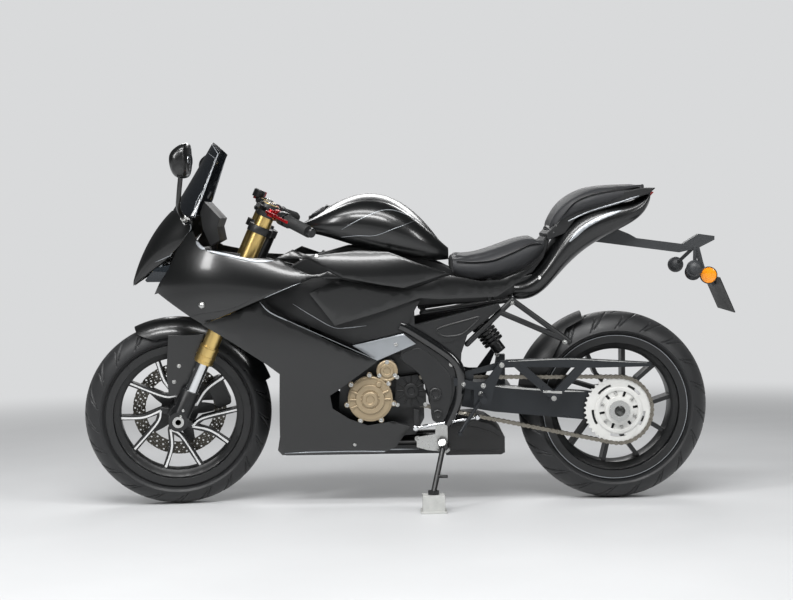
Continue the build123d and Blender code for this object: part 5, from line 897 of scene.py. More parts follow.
@dataclass
class Tyre(Assembly):
    """A road tyre with cut grooves and fine rings on its side walls."""

    name: str = "front_tyre"
    ride: Ride = Ride.FRONT_WHEEL
    radius: float = 300.0
    half: float = 60.0
    crown: float = 62.0
    rim_half: float = 50.0
    bead: float = 219.0
    knee: float = 236.0
    repeats: int = 21
    columns: int = 980
    crown_rows: int = 57
    wall_rows: int = 18
    rings: tuple[float, ...] = (243.0, 249.0)
    ring_height: float = 0.7
    grooves: tuple[Groove, ...] = (Groove(0.10, 0.90, 0.0, 0.62, 3.6, 4.2),
                                   Groove(0.45, 0.99, 0.45, 0.36, 2.6, 3.4),
                                   Groove(0.02, 0.30, 0.62, 0.22, 2.4, 3.4))

    def profile(self) -> tuple[Array, Array, Array]:
        """Section of the tyre as places across and radii, and the share across the tread or zero off it."""
        sweep = math.asin(self.half / self.crown)
        turn = np.linspace(-sweep, sweep, self.crown_rows)
        crown_y = self.crown * np.sin(turn)
        crown_r = self.radius - self.crown * (1 - np.cos(turn))
        shoulder, foot = crown_r[-1], self.rim_half - 10
        t = np.linspace(0, 1, self.wall_rows + 1)[1:]
        wall_y = (1 - t) ** 2 * self.half + 2 * t * (1 - t) * (self.half + 2.5) + t**2 * (foot + 2)
        bend = shoulder * 0.4 + self.knee * 0.6
        wall_r = (1 - t) ** 2 * shoulder + 2 * t * (1 - t) * bend + t**2 * self.knee
        for ring in self.rings:
            wall_y = wall_y + self.ring_height * np.exp(-(((wall_r - ring) / 0.9) ** 2))
        across = np.concatenate([[-foot], -wall_y[::-1], crown_y, wall_y, [foot]])
        radii = np.concatenate([[self.bead], wall_r[::-1], crown_r, wall_r, [self.bead]])
        off = np.full(self.wall_rows + 1, 9.0)
        return across, radii, np.concatenate([off, turn / sweep, off])

    def depth(self, angle: Array, share: Array) -> Array:
        """How deep the tread is cut.

        Args:
            angle: place round the wheel in radians.
            share: place across the tread from -1 to 1.

        Returns:
            For each groove, its depth times a smooth bump of the distance to its centre line, which leans
            by a power of the way from its start to its end.
        """
        phase = angle * self.repeats / TURN + 0.25 * np.sign(share)
        pitch = TURN * self.radius / self.repeats
        total = np.zeros(np.broadcast_shapes(angle.shape, share.shape))
        for groove in self.grooves:
            way = (np.abs(share) - groove.start) / (groove.end - groove.start)
            centre = groove.offset + groove.lean * np.clip(way, 0, 1) ** 1.5
            gap = np.abs((phase - centre + 0.5) % 1 - 0.5) * pitch
            near = np.clip(1.25 - gap / groove.width, 0, 1)
            ends = np.clip(np.minimum(way, 1 - way) * 14, 0, 1)
            total = np.maximum(total, groove.depth * near * ends)
        return total

    def build(self, place: Array) -> None:
        """Builds the tyre round a wheel's frame."""
        across, radii, share = self.profile()
        angle = np.linspace(0, TURN, self.columns, endpoint=False)[None, :]
        cut = np.where(np.abs(share[:, None]) <= 1, self.depth(angle, share[:, None]), 0)
        inward = np.clip(share, -1, 1)[:, None] * math.asin(self.half / self.crown)
        r = radii[:, None] - cut * np.cos(inward)
        y = across[:, None] - cut * np.sin(inward)
        skin = grid(np.stack([r * np.cos(angle), y, r * np.sin(angle)], -1), round_u=True, round_v=True)
        self.add(f"{self.name}_treaded", skin, RUBBER, "tyre", self.ride, place, stands_for=(self.name,))


def polar(radius: float, turn: float) -> tuple[float, float]:
    """X and Z at a radius, turned clockwise as seen from the left."""
    return radius * math.cos(math.radians(turn)), -radius * math.sin(math.radians(turn))


def around(centre: tuple[float, float], radius: float, turn: float) -> tuple[float, float]:
    """X and Z at a radius from a centre, turned clockwise as seen from the left."""
    x, z = polar(radius, turn)
    return centre[0] + x, centre[1] + z


def banded(path: Array, halves: Array) -> Array:
    """Outline of a flat band along a path of X and Z, with a half width at each point."""
    tangent = unit(np.gradient(path, axis=0))
    normal = np.stack([-tangent[:, 1], tangent[:, 0]], -1) * np.asarray(halves)[:, None]
    return np.concatenate([path + normal, (path - normal)[::-1]])


@dataclass
class FrontWheel(Assembly):
    """Tyre, milled spoke faces and drilled disc with its carrier."""

    pairs: int = 5
    first_turn: float = 34.0
    spread: float = 36.0
    apex: tuple[float, float] = (60.0, 14.0)
    flared_knee: tuple[float, float] = (118.0, -2.0)
    plain_knee: tuple[float, float] = (78.0, -20.0)
    spoke_end: float = 197.0
    face: float = -13.0
    milled_height: float = 0.8
    flare: tuple[float, ...] = (3.6, 2.8, 3.2, 3.0, 3.4, 4.0)
    slim: tuple[float, ...] = (3.6, 2.6, 2.8, 2.5, 2.4, 3.4)
    disc_inner: float = 112.0
    disc_outer: float = 153.0
    disc_left: float = 57.6
    disc_right: float = 62.4
    hole_rows: int = 3
    hole_columns: int = 36
    hole: float = 3.3

    def spokes(self) -> Skin:
        """Milled faces on both spokes of every pair, with a foot where the flared one meets the rim."""
        bands = []
        for pair in range(self.pairs):
            turn = self.first_turn + pair * 360 / self.pairs
            apex = polar(self.apex[0], turn + self.apex[1])
            flared = [apex, polar(self.flared_knee[0], turn + self.flared_knee[1]),
                      polar(self.spoke_end, turn)]
            plain = [apex, polar(self.plain_knee[0], turn + self.plain_knee[1]),
                     polar(self.spoke_end, turn - self.spread)]
            count = 24
            for path, wide in ((flared, self.flare), (plain, self.slim)):
                line = smooth_path(path, count)
                halves = np.interp(np.linspace(0, 1, count), np.linspace(0, 1, len(wide)), wide)
                bands.append(slab(banded(line, halves), self.face - self.milled_height, self.face + 1))
            foot = [polar(self.spoke_end + 1, turn + step) for step in (-2.0, 0.8, 4.6)]
            bands.append(slab(banded(np.array(foot), np.array([3.5, 3.2, 0.8])),
                              self.face - self.milled_height, self.face + 1))
        return joined(bands)

    def drilled_ring(self) -> Skin:
        """Flat ring with round holes: each tile of the ring maps its square rim to the circle of its hole."""
        step = 16
        around = np.linspace(0, TURN, step, endpoint=False) + TURN / 32
        circle = np.stack([np.cos(around), np.sin(around)], -1)
        square = circle / np.abs(circle).max(axis=1, keepdims=True)
        tall = (self.disc_outer - self.disc_inner) / self.hole_rows
        tiles = []
        for row in range(self.hole_rows):
            middle = self.disc_inner + tall * (row + 0.5)
            wide = TURN * middle / self.hole_columns
            for column in range(self.hole_columns):
                turn = (column + row / self.hole_rows) * TURN / self.hole_columns
                rim = np.stack([square[:, 0] * wide / 2 / middle, square[:, 1] * tall / 2], -1)
                hole = np.stack([circle[:, 0] * self.hole / middle, circle[:, 1] * self.hole], -1)
                rings = [(rim, self.disc_left), (hole, self.disc_left), (hole, self.disc_right),
                         (rim, self.disc_right)]
                points = []
                for shape, y in rings:
                    angle, radius = turn + shape[:, 0], middle + shape[:, 1]
                    points.append(np.stack([radius * np.cos(angle), np.full(step, y), radius * np.sin(angle)],
                                           -1))
                tiles.append(grid(np.stack(points), round_v=True))
        rims = [spun([(r, self.disc_left), (r, self.disc_right)], 144)
                for r in (self.disc_inner, self.disc_outer)]
        return joined(tiles + rims)

    def carrier(self) -> Skin:
        """Star that carries the disc, with its buttons."""
        angle = np.linspace(0, TURN, 60, endpoint=False)
        radius = 62 + 53 * np.clip(1.5 * np.cos(5 * angle) - 0.35, 0, 1)
        star = slab(np.stack([radius * np.cos(angle), radius * np.sin(angle)], -1), 56.5, 63.5)
        spots = [polar(116, 72 * k) for k in range(5)]
        buttons = [button(6.5, 5, 14).moved(shift(x, 61, z)) for x, z in spots]
        return joined([star] + buttons)

    def build(self) -> None:
        """Builds the pieces that turn with the front wheel."""
        Tyre(name="front_tyre", ride=Ride.FRONT_WHEEL).build(FRONT_WHEEL)
        self.add("front_spoke_faces", self.spokes(), MILLED, "rim_black", Ride.FRONT_WHEEL, FRONT_WHEEL)
        self.add("front_disc_drilled", self.drilled_ring(), DISC_STEEL, "brake_steel", Ride.FRONT_WHEEL,
                 FRONT_WHEEL, stands_for=("front_disc",))
        self.add("front_disc_carrier", self.carrier(), CASTING, "brake_steel", Ride.FRONT_WHEEL, FRONT_WHEEL,
                 edge=1.0)
        log.info("front wheel dressed")


@dataclass
class RearWheel(Assembly):
    """Tyre, a painted highlight on the rim's lip, and the fittings of the sprocket."""

    sprocket_face: float = -121.2
    inner_ring: tuple[float, float] = (62.0, 74.0)
    bolt_circle: float = 55.0
    bolts: int = 6

    def build(self) -> None:
        """Builds the pieces that turn with the rear wheel."""
        Tyre(name="rear_tyre", ride=Ride.REAR_WHEEL, radius=306.0, half=76.0, crown=80.0, rim_half=62.0,
             repeats=20, columns=900, crown_rows=67).build(REAR_WHEEL)
        # Painted highlight: a silver ring where the near lip of the rim catches the light.
        line = spun([(231.2, -62.8), (233.0, -62.8), (233.0, -61.4), (231.2, -61.4), (231.2, -62.8)], 160)
        self.add("rear_rim_painted_highlight", line, SILVER_AND_PAINTED_HIGHLIGHT, "rim_black", Ride.REAR_WHEEL, REAR_WHEEL)
        face = self.sprocket_face
        low, high = self.inner_ring
        raised = spun([(low, face + 1), (low, face - 2.6), (low + 1.5, face - 3.4), (high - 1.5, face - 3.4),
                       (high, face - 2.6), (high, face + 1)], 120)
        self.add("sprocket_ring", raised, PALE, "sprocket_white", Ride.REAR_WHEEL, REAR_WHEEL)
        flip = turn_about((0, 0, 1), 180)
        heads = joined([button(6.2, 6, 6).moved(shift(x, face + 0.5, z) @ flip)
                        for x, z in (polar(self.bolt_circle, 20 + 60 * k) for k in range(self.bolts))])
        self.add("sprocket_bolts", heads, ZINC, "axle_steel", Ride.REAR_WHEEL, REAR_WHEEL, edge=0.5)
        log.info("rear wheel dressed")


# Front end

def pebble(outline: Points, right: float, left: float, rows: int = 15, count: int = 44,
           power: float = 3.0) -> Skin:
    """Closed rounded body whose middle section is a smooth outline.

    Args:
        outline: pairs of X and Z that the widest section goes through.
        right: place across the bike where it starts.
        left: place where it ends.
        rows: sections between them.
        count: points round a section.
        power: how square its sides are.

    Returns:
        Sections scaled about their middle by (1 - |t|^power)^(1 / power), for t from -1 to 1.
    """
    ring = smooth_path(outline, count, closed=True)
    middle = ring.mean(axis=0)
    t = np.sin(np.linspace(-1, 1, rows) * math.pi / 2)
    size = np.maximum(1 - np.abs(t) ** power, 1e-6) ** (1 / power)
    size[[0, -1]] = 0.0
    y = (right + left) / 2 + t * (left - right) / 2
    flat = middle + (ring - middle) * size[:, None, None]
    points = np.stack([flat[..., 0], np.broadcast_to(y[:, None], flat.shape[:2]), flat[..., 1]], -1)
    return grid(points, round_v=True)


def mirrored(skin: Skin) -> Skin:
    """The same skin on the other side of the bike."""
    return Skin(skin.points * (1, -1, 1), [face[::-1] for face in skin.faces])


def both(skin: Skin) -> Skin:
    """A skin and its mirror image across the bike."""
    return joined([skin, mirrored(skin)])


@dataclass
class FrontEnd(Assembly):
    """Fork fittings, bars, mirrors, screen and headlights."""

    leg: float = 105.0
    bar_turn: float = 28.0
    bar_place: float = 725.0
    bar_length: float = 268.0
    grip_length: float = 125.0
    grip_radius: float = 17.2
    grip_ribs: int = 22
    bar_end: float = 10.0
    mirror_outline: tuple[tuple[float, float], ...] = ((98, 1158), (66, 1147), (45, 1122), (47, 1082),
                                                       (64, 1056), (94, 1058), (104, 1090), (104, 1130))
    mirror_inner: float = -212.0
    mirror_outer: float = -340.0
    glass_points: int = 40
    glass_centre: tuple[float, float] = (-276.0, 1108.0)

    def along(self, side: int) -> Array:
        """Matrix from a frame whose Y axis runs out along a bar, with its origin on the fork leg."""
        turn = math.radians(self.bar_turn)
        return aimed((0, side * self.leg, self.bar_place), (math.sin(turn), side * math.cos(turn), 0))

    def grips(self) -> Skin:
        """Ribbed grips with a collar, and weights at the ends of the bars."""
        start = self.bar_length - self.bar_end - self.grip_length
        way = np.linspace(0, self.grip_length, self.grip_ribs * 6)
        radius = self.grip_radius + 0.7 * np.cos(way / self.grip_length * TURN * self.grip_ribs)
        profile = [(11.5, start), (21, start + 0.5), (21.5, start + 3), (18, start + 5)]
        profile += [(r, start + 5 + y) for r, y in zip(radius[30:], way[30:] - 5)]
        profile += [(11.5, start + self.grip_length)]
        return joined([spun(profile, 28).moved(self.along(side)) for side in SIDES])

    def bar_fittings(self) -> Skin:
        """Bar-end weights, switch housings and clamp bolts."""
        end = self.bar_length - self.bar_end
        weight = spun([(0, end), (15.5, end), (15.5, end + 3), (14, end + 16), (11, end + 19), (0, end + 19)],
                      28)
        switch = spun([(11, 84), (17, 84), (19, 90), (19, 118), (17, 124), (11, 124)], 24)
        pieces = [skin.moved(self.along(side)) for skin in (weight, switch) for side in SIDES]
        for side in SIDES:
            for height in (712.0, 738.0):
                pieces.append(button(4.5, 4, 12).moved(aimed((-31, side * self.leg, height), (-1, 0, 0))))
        return joined(pieces)

    def fork_fittings(self) -> Skin:
        """Cap nuts on the legs, and pinch bolts on the clamps and the bottoms."""
        pieces = []
        for side in SIDES:
            y = side * self.leg
            cap = spun([(0, 0), (17, 0), (17, 5), (15, 7), (9, 7), (9, 4), (0, 4)], 12)
            pieces.append(cap.moved(aimed((0, y, 747), (0, 0, 1))))
            pieces += [button(5, 4, 12).moved(aimed((0, y * 1.27, z), (0, side, 0))) for z in (440, 455, 660)]
            pieces += [button(4.5, 4, 12).moved(aimed((0, side * 134, z), (0, side, 0))) for z in (20, 40)]
        return joined(pieces)

    def rings(self) -> Skin:
        """Gold rings above and below each fork collar."""
        ring = [(30.2, -3), (31.6, -2), (31.6, 2), (30.2, 3), (29.4, 0), (30.2, -3)]
        return joined([spun(ring, 40).moved(aimed((0, side * self.leg, z), (0, 0, 1)))
                       for side in SIDES for z in (207, 224, 251)])

    def controls(self) -> Skin:
        """Brake reservoir on its stalk, and the stub of the left control."""
        drum = spun([(0, 0), (19, 0), (20, 2), (20, 24), (18, 27), (0, 27)], 24)
        pieces = [drum.moved(aimed((-34, 158, 742), (0, 0, 1)))]
        pieces.append(tube([(-18, 128, 726), (-30, 150, 732), (-34, 158, 744)], 7, 12))
        pieces.append(tube([(-16, -132, 728), (-30, -152, 731), (-40, -176, 733)], 7.5, 12))
        return joined(pieces)

    def mirrors(self) -> None:
        """Housings, glasses and stalks on both sides."""
        housing = pebble(self.mirror_outline, self.mirror_inner, self.mirror_outer)
        base, _ = landing(["nose_cowl"], [(66, 921)])
        foot = base[0] if len(base) else np.array([66.0, -128.0, 921.0])
        stalk = smooth_path([foot, foot + (-6, -24, 8), (52, -205, 962), (60, -244, 1000), (72, -262, 1074)],
                            30)
        clamp = [foot + (-6, -22, 7), foot + (-7, -32, 11)]
        pieces = [housing, tube(stalk, 7.4, 14), tube([foot + (2, 4, -3), foot + (-3, -14, 4)], 13, 18)]
        self.add("mirror_bodies", both(joined(pieces)), PAINT, "trim_black", stands_for=("mirrors",))
        rings = [tube([clamp[0] + (0, -9 * k, 3 * k), clamp[0] + (0, -9 * k - 3, 3 * k + 1)], 10, 18)
                 for k in range(3)]
        self.add("mirror_clamps", both(joined(rings)), ZINC, "trim_silver", edge=0.6)
        t = np.linspace(0, TURN, self.glass_points, endpoint=False)
        y, z = self.glass_centre[0] + 42 * np.cos(t), self.glass_centre[1] + 21 * np.sin(t)
        plate = [np.stack([np.full_like(t, x), y, z], -1) for x in (94, 103.6)]
        glass = capped(grid(np.stack(plate), round_v=True), self.glass_points)
        self.add("mirror_glasses", both(glass), MIRROR_GLASS, "trim_silver")

    def lamps(self) -> None:
        """Lamp bowls and bulbs behind the lenses."""
        bowl = spun([(0, 0), (14, 1), (22, 6), (27, 14), (28, 15), (26, 18), (0, 4)], 32)
        bulb = spun([(0, 18), (8, 17), (12, 12), (12, 2), (0, 2)], 20)
        bowls = joined([bowl.moved(aimed((x, -y, z), (-0.75, -0.62, -0.05))) for x, y, z in
                        ((-14, 66, 764), (-44, 52, 762))])
        self.add("lamp_bowls", both(bowls), CHROME, "lamp_lens")
        self.add("lamp_bulbs", both(joined([bulb.moved(aimed((-16, -68, 764), (-0.75, -0.62, -0.05)))])),
                 MILLED, "lamp_lens")

    def screen_painted_highlights(self) -> None:
        """Painted highlights: a thin pale strip on the rim of the screen and a fine pale line inside it,
        where the acrylic catches the light.
        """
        rim = [(132, 1172), (180, 1108), (183, 1091), (148, 1042), (109, 994), (88, 940), (78, 886)]
        skins = [laid(["windscreen"], rim, 3.0, 1.2, side, 80) for side in SIDES]
        line = [(124, 1140), (168, 1100), (136, 1052), (98, 996), (80, 944)]
        skins += [laid(["windscreen"], line, 1.8, 0.8, side, 70) for side in SIDES]
        # painted highlights on the screen's rim and inside it
        self.add("screen_painted_highlights", joined(skins), SILVER_AND_PAINTED_HIGHLIGHT, "screen_smoke")

    def build(self) -> None:
        """Builds the front end."""
        self.add("ribbed_grips", self.grips(), GRIP, "grip_rubber", Ride.STEERING, FORK,
                 stands_for=("grips",))
        self.add("bar_fittings", self.bar_fittings(), CASTING, "black_cast", Ride.STEERING, FORK, edge=0.8)
        self.add("fork_fittings", self.fork_fittings(), ZINC, "axle_steel", Ride.STEERING, FORK, edge=0.5)
        self.add("collar_rings", self.rings(), GOLD, "fork_gold", Ride.STEERING, FORK)
        self.add("bar_controls", self.controls(), CASTING, "black_cast", Ride.STEERING, FORK, edge=0.8)
        self.mirrors()
        self.lamps()
        self.screen_painted_highlights()


# Bodywork

@dataclass
class Bodywork(Assembly):
    """Seam lines, painted highlights along edges, bolts, filler cap and the strips along the fairings."""

    tank: tuple[str, ...] = ("fuel_tank",)
    covers: tuple[str, ...] = ("tank_side_covers", "side_panels")
    fairings: tuple[str, ...] = ("upper_fairings", "lower_fairings", "vent_panels", "trim_panels",
                                 "belly_pan")
    tail: tuple[str, ...] = ("tail_cowl",)
    filler_place: float = 470.0

    def painted_edge_highlights(self) -> Skin:
        """Painted highlights: thin bright strips along the vent's rim, the recess of the tank and the tail's
        line, where those edges catch the light.
        """
        routes = [
            (self.fairings, [(295, 675), (327, 642), (403, 605), (470, 570), (538, 534), (600, 506),
                             (648, 485)], 3.4),
            (self.fairings, [(300, 683), (345, 702), (400, 724), (453, 743)], 2.0),
            (self.fairings, [(391, 664), (450, 626), (515, 589), (560, 586), (620, 592)], 2.0),
            (self.tank, [(548, 892), (590, 915), (640, 938), (689, 951), (736, 941), (779, 918)], 2.2),
            (self.tank, [(546, 868), (600, 872), (652, 872), (716, 894), (776, 915)], 1.6),
            (self.tail, [(1290, 925), (1360, 952), (1430, 978), (1500, 1000)], 2.6),
        ]
        return trimmed(routes, 1.0)

    def seams(self) -> Skin:
        """Dark seams where panels meet."""
        routes = [
            (("upper_fairings", "lower_fairings"), [(75, 629), (114, 640), (180, 650), (240, 668),
                                                    (292, 700)], 2.2),
            (self.covers, [(549, 741), (608, 729), (667, 718), (737, 707), (800, 726), (870, 751)], 2.6),
            (self.covers, [(452, 798), (500, 770), (548, 743)], 2.4),
            (("lower_fairings",), [(345, 360), (318, 300), (286, 232), (262, 196)], 2.0),
        ]
        return trimmed(routes, 0.5)

    def strips(self) -> Skin:
        """Bevelled grey strips along the top of the fairings, and a painted highlight: a bright strip along
        the edge under the belly.
        """
        routes = [
            (("upper_fairings", "nose_cowl"), [(98, 862), (112, 846), (128, 838)], 10.0),
            (("upper_fairings",), [(136, 834), (190, 822), (250, 808), (292, 800), (338, 800)], 9.0),
            # painted highlight along the bottom edge of the belly pan
            (("lower_fairings", "belly_pan"), [(352, 184), (440, 186), (560, 187), (680, 186), (780, 186)],
             4.0),
            (("nose_cowl",), [(66, 925), (78, 903), (56, 866), (30, 830), (-8, 812), (-48, 796)], 2.4),
        ]
        return trimmed(routes, 1.6)

    def bolts(self) -> Skin:
        """Screws of the panels on both sides."""
        head = button(6.0, 2.6, 18)
        pod = spun([(11, 0), (11, 2), (9, 6), (5, 9), (0, 10)], 24)
        spots = [((576, 212), self.fairings), ((548, 700), self.fairings), ((711, 532), ("trim_panels",)),
                 ((1167, 729), self.tail + ("side_panels",)), ((1028, 675), ("side_panels",)),
                 ((824, 574), ("side_panels",)), ((979, 640), ("side_panels",)), ((470, 812), self.covers)]
        skins = [seated(names, [spot], head, SIDES) for spot, names in spots
                 if len(landing(names, [spot])[0])]
        skins.append(seated(("upper_fairings",), [(117, 667)], pod, SIDES))
        return joined(skins)

    def filler(self) -> None:
        """Filler cap with its ring of screws, on top of the tank."""
        spot, normal = cast(self.tank, (self.filler_place, 0, 2 * REACH), (0, 0, -1))
        frame_up = aimed(spot - 2.0 * normal, normal)
        ring = spun([(0, 0), (40, 0), (40, 5), (37, 8), (30, 9), (28, 6), (26, 6), (24, 11), (8, 12),
                     (0, 12)], 48)
        screws = [button(3.2, 2.2, 12).moved(shift(33.5 * math.cos(k), 8.4, 33.5 * math.sin(k)))
                  for k in np.arange(7) * TURN / 7]
        self.add("filler_cap", ring.moved(frame_up), CASTING, "black_cast", edge=0.6)
        self.add("filler_screws", joined(screws).moved(frame_up), ZINC, "axle_steel")

    def build(self) -> None:
        """Builds the trim of the bodywork."""
        # Painted highlights along the edges of the vents, the tank's recess and the tail
        self.add("painted_edge_highlights", self.painted_edge_highlights(), SILVER_AND_PAINTED_HIGHLIGHT, "trim_silver")
        self.add("panel_seams", self.seams(), PLASTIC, "trim_black")
        self.add("fairing_strips", self.strips(), SILVER_AND_PAINTED_HIGHLIGHT, "trim_silver")
        self.add("panel_bolts", self.bolts(), ZINC, "axle_steel", edge=0.5)
        self.filler()


# Seats

@dataclass
class Seats(Assembly):
    """Upholstered pads: foam that swells under sewn vinyl, with a raised seam along the crown."""

    voxel: float = 5.0
    pressure: float = 4.0
    shrink: float = 3.0
    cap: float = 6.0
    frames: int = 20
    quality: int = 6
    relax_factor: float = 0.5
    relax_rounds: int = 4

    def puffed(self, node: str, name: str) -> bpy.types.Object:
        """Copy of a packed pad that swells as foam does under its cover.

        Args:
            node: packed pad.
            name: name of the new piece.

        Returns:
            The pad: remeshed, shrunk a little, blown up by cloth pressure and capped in how far it moves.
        """
        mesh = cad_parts[node].data.copy()
        mesh.name = name
        welded(mesh)
        mesh.materials.clear()
        thing = linked(name, mesh)
        remesh = thing.modifiers.new("remesh", "REMESH")
        remesh.mode = "VOXEL"
        remesh.voxel_size = self.voxel * MM
        self.bake(thing)
        start, normals = (vectors_of(thing.data.vertices, key) for key in ("co", "normal"))
        thing.data.vertices.foreach_set("co", (start - normals * self.shrink * MM).ravel())
        cloth = thing.modifiers.new("foam", "CLOTH")
        cloth.settings.use_pressure = True
        cloth.settings.uniform_pressure_force = self.pressure
        cloth.settings.effector_weights.gravity = 0.0
        cloth.settings.quality = self.quality
        for number in range(1, self.frames + 1):
            bpy.context.scene.frame_set(number)
        self.bake(thing)
        bpy.context.scene.frame_set(1)
        move = vectors_of(thing.data.vertices) - start
        size = np.linalg.norm(move, axis=1, keepdims=True)
        move *= np.minimum(1, self.cap * MM / np.maximum(size, 1e-9))
        thing.data.vertices.foreach_set("co", (start + move).ravel())
        shaded(thing.data, sharp=False)
        smooth = thing.modifiers.new("relax", "SMOOTH")
        smooth.factor = self.relax_factor
        smooth.iterations = self.relax_rounds
        finer = thing.modifiers.new("finer", "SUBSURF")
        finer.levels = finer.render_levels = 1
        thing.data.materials.append(VINYL.material())
        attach(thing, Ride.CHASSIS.value)
        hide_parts(node)
        log.info("built %s", name)
        return thing

    @staticmethod
    def bake(thing: bpy.types.Object) -> None:
        """Puts the result of a piece's modifiers into its mesh and takes them off."""
        shown = thing.evaluated_get(bpy.context.evaluated_depsgraph_get())
        mesh = bpy.data.meshes.new_from_object(shown)
        thing.modifiers.clear()
        thing.data = mesh

    def build(self) -> None:
        """Builds both pads and their seams."""
        self.puffed("rider_seat", "rider_pad")
        self.puffed("passenger_seat", "passenger_pad")
        routes = [
            (("rider_seat",), [(905, 786), (960, 784), (1020, 790), (1080, 812), (1140, 836), (1180, 836)],
             5.0),
            (("passenger_seat",), [(1230, 905), (1275, 962), (1330, 988), (1410, 1002), (1490, 1010)], 5.0)]
        self.add("seat_seams", trimmed(routes, 3.0), VINYL_PLAIN, "seat_cover")


# Engine, frame and rear end

def ringed(centre: tuple[float, float], y: float, profile: Points, steps: int = 48) -> Skin:
    """Profile of radius and height, turned about a line across the bike and pointing to the left.

    Args:
        centre: X and Z of the line.
        y: place where the height is zero.
        profile: pairs of radius and height to the left.
        steps: columns round the turn.
    """
    flipped = [(radius, -height) for radius, height in profile]
    return spun(flipped, steps).moved(shift(centre[0], y, centre[1]))


def screw(centre: tuple[float, float], y: float, radius: float = 5.0, height: float = 4.0) -> Skin:
    """Hexagon screw with its washer, pointing to the left."""
    washer = ringed(centre, y, [(0, 0), (radius * 1.35, 0), (radius * 1.35, 1.2), (0, 1.2)], 20)
    head = ringed(centre, y, [(radius, 0.5), (radius, height), (radius * 0.55, height),
                              (radius * 0.5, height * 0.5), (0, height * 0.5)], 6)
    return joined([washer, head])


@dataclass
class Engine(Assembly):
    """Ribs, rings and screws on the engine's covers, and the gear linkage in front of them."""

    clutch: tuple[float, float] = (628.0, 361.0)
    clutch_face: float = -170.0
    pump: tuple[float, float] = (682.0, 449.0)
    guard: tuple[float, float] = (757.0, 380.0)
    guard_face: float = -136.0
    boss_circle: float = 75.0
    boss_turns: tuple[float, ...] = tuple(12 + np.arange(7) * 360 / 7)

    def covers(self) -> Skin:
        """Rim rings, raised discs, ribs and bosses of both bronze covers."""
        face = self.clutch_face
        rim = ringed(self.clutch, face, [(58, -2), (70.5, -2), (70.5, 3), (67, 5), (61, 5), (58, 2),
                                         (58, -2)])
        disc = ringed(self.clutch, face - 8, [(0, -1), (47, -1), (47, 3), (44, 6), (30, 7), (28, 5), (0, 5)])
        boss = ringed(self.clutch, face - 12, [(24.5, -2), (24.5, 6), (22, 8), (14, 8), (12, 5), (0, 5)], 36)
        pieces = [rim, disc, boss]
        for turn in (0, 180, 205, 155, 335):
            start, end = (around(self.clutch, r, turn) for r in (26, 64))
            pieces.append(tube([(start[0], face - 11, start[1]), (end[0], face - 9, end[1])], 4.2, 10))
        for turn in self.boss_turns:
            spot = around(self.clutch, self.boss_circle, turn)
            pieces.append(ringed(spot, face + 12, [(0, 0), (8.5, 0), (8.5, 15), (0, 15)], 18))
        pieces.append(ringed(around(self.clutch, 54, 300), face - 8,
                             [(0, -1), (9, -1), (9, 6), (7, 8), (0, 8)], 20))
        pieces.append(ringed(self.pump, face, [(0, -1), (33.5, -1), (33.5, 4), (29, 6), (25, 4), (22, 4),
                                               (20, 8), (12, 9), (10, 6), (0, 6)]))
        return joined(pieces)

    def screws(self) -> Skin:
        """Screws round both covers, the guard and the cast plate."""
        spots = [(around(self.clutch, self.boss_circle, turn), self.clutch_face - 3)
                 for turn in self.boss_turns]
        spots += [(around(self.pump, 28, turn), self.clutch_face - 5) for turn in (30, 150, 270)]
        x, z = self.guard
        spots += [((x + dx, z + dz), self.guard_face - 1)
                  for dx, dz in ((-44, 44), (44, 44), (-44, -44), (44, -44))]
        return joined([screw(spot, y) for spot, y in spots])

    def guard_ribs(self) -> Skin:
        """Ribs that fan over the sprocket guard, and its round middle."""
        middle = [(0, -1), (24, -1), (24, 4), (20, 6), (12, 6), (10, 3), (0, 3)]
        pieces = [ringed(self.guard, self.guard_face, middle)]
        for turn in range(0, 360, 30):
            start, end = (around(self.guard, r, turn) for r in (24, 46))
            pieces.append(tube([(start[0], self.guard_face, start[1]), (end[0], self.guard_face, end[1])],
                               2.6, 8))
        return joined(pieces)

    def linkage(self) -> Skin:
        """Gear rod with its ball ends, and the selector arm."""
        rod = tube([(772, -170, 268), (866, -172, 283), (960, -172, 298)], 4.2, 12)
        nuts = [tube([(x, -171, z), (x + 16, -171.5, z + 2.6)], 6.4, 6)
                for x, z in ((792, 271), (920, 291.5))]
        balls = [ringed(spot, -163, [(0, 0), (9, 0), (9, 12), (5, 15), (0, 15)], 20)
                 for spot in ((770, 267), (962, 299))]
        return joined([rod] + nuts + balls)

    def build(self) -> None:
        """Builds the engine's outer detail."""
        self.add("cover_relief", self.covers(), BRONZE, "cover_bronze", edge=0.8)
        disc = [(0, -1), (47, -1), (47, 3), (44, 6), (30, 7), (0, 7)]
        rim = [(58, -2), (70.5, -2), (70.5, 3), (67, 5), (58, 2), (58, -2)]
        relief = joined([ringed(self.clutch, self.clutch_face - 8, disc),
                         ringed(self.clutch, self.clutch_face, rim)])
        self.add("right_cover_relief", mirrored(relief), BRONZE, "cover_bronze", edge=0.8)
        self.add("engine_screws", self.screws(), ZINC, "axle_steel", edge=0.4)
        self.add("guard_relief", self.guard_ribs(), PLASTIC, "trim_black", edge=0.5)
        self.add("gear_linkage", self.linkage(), CHROME, "axle_steel")
        arm = slab([(764, 326), (780, 322), (777, 264), (763, 264)], -163, -155)
        self.add("selector_arm", arm, CASTING, "black_cast", edge=1.5)


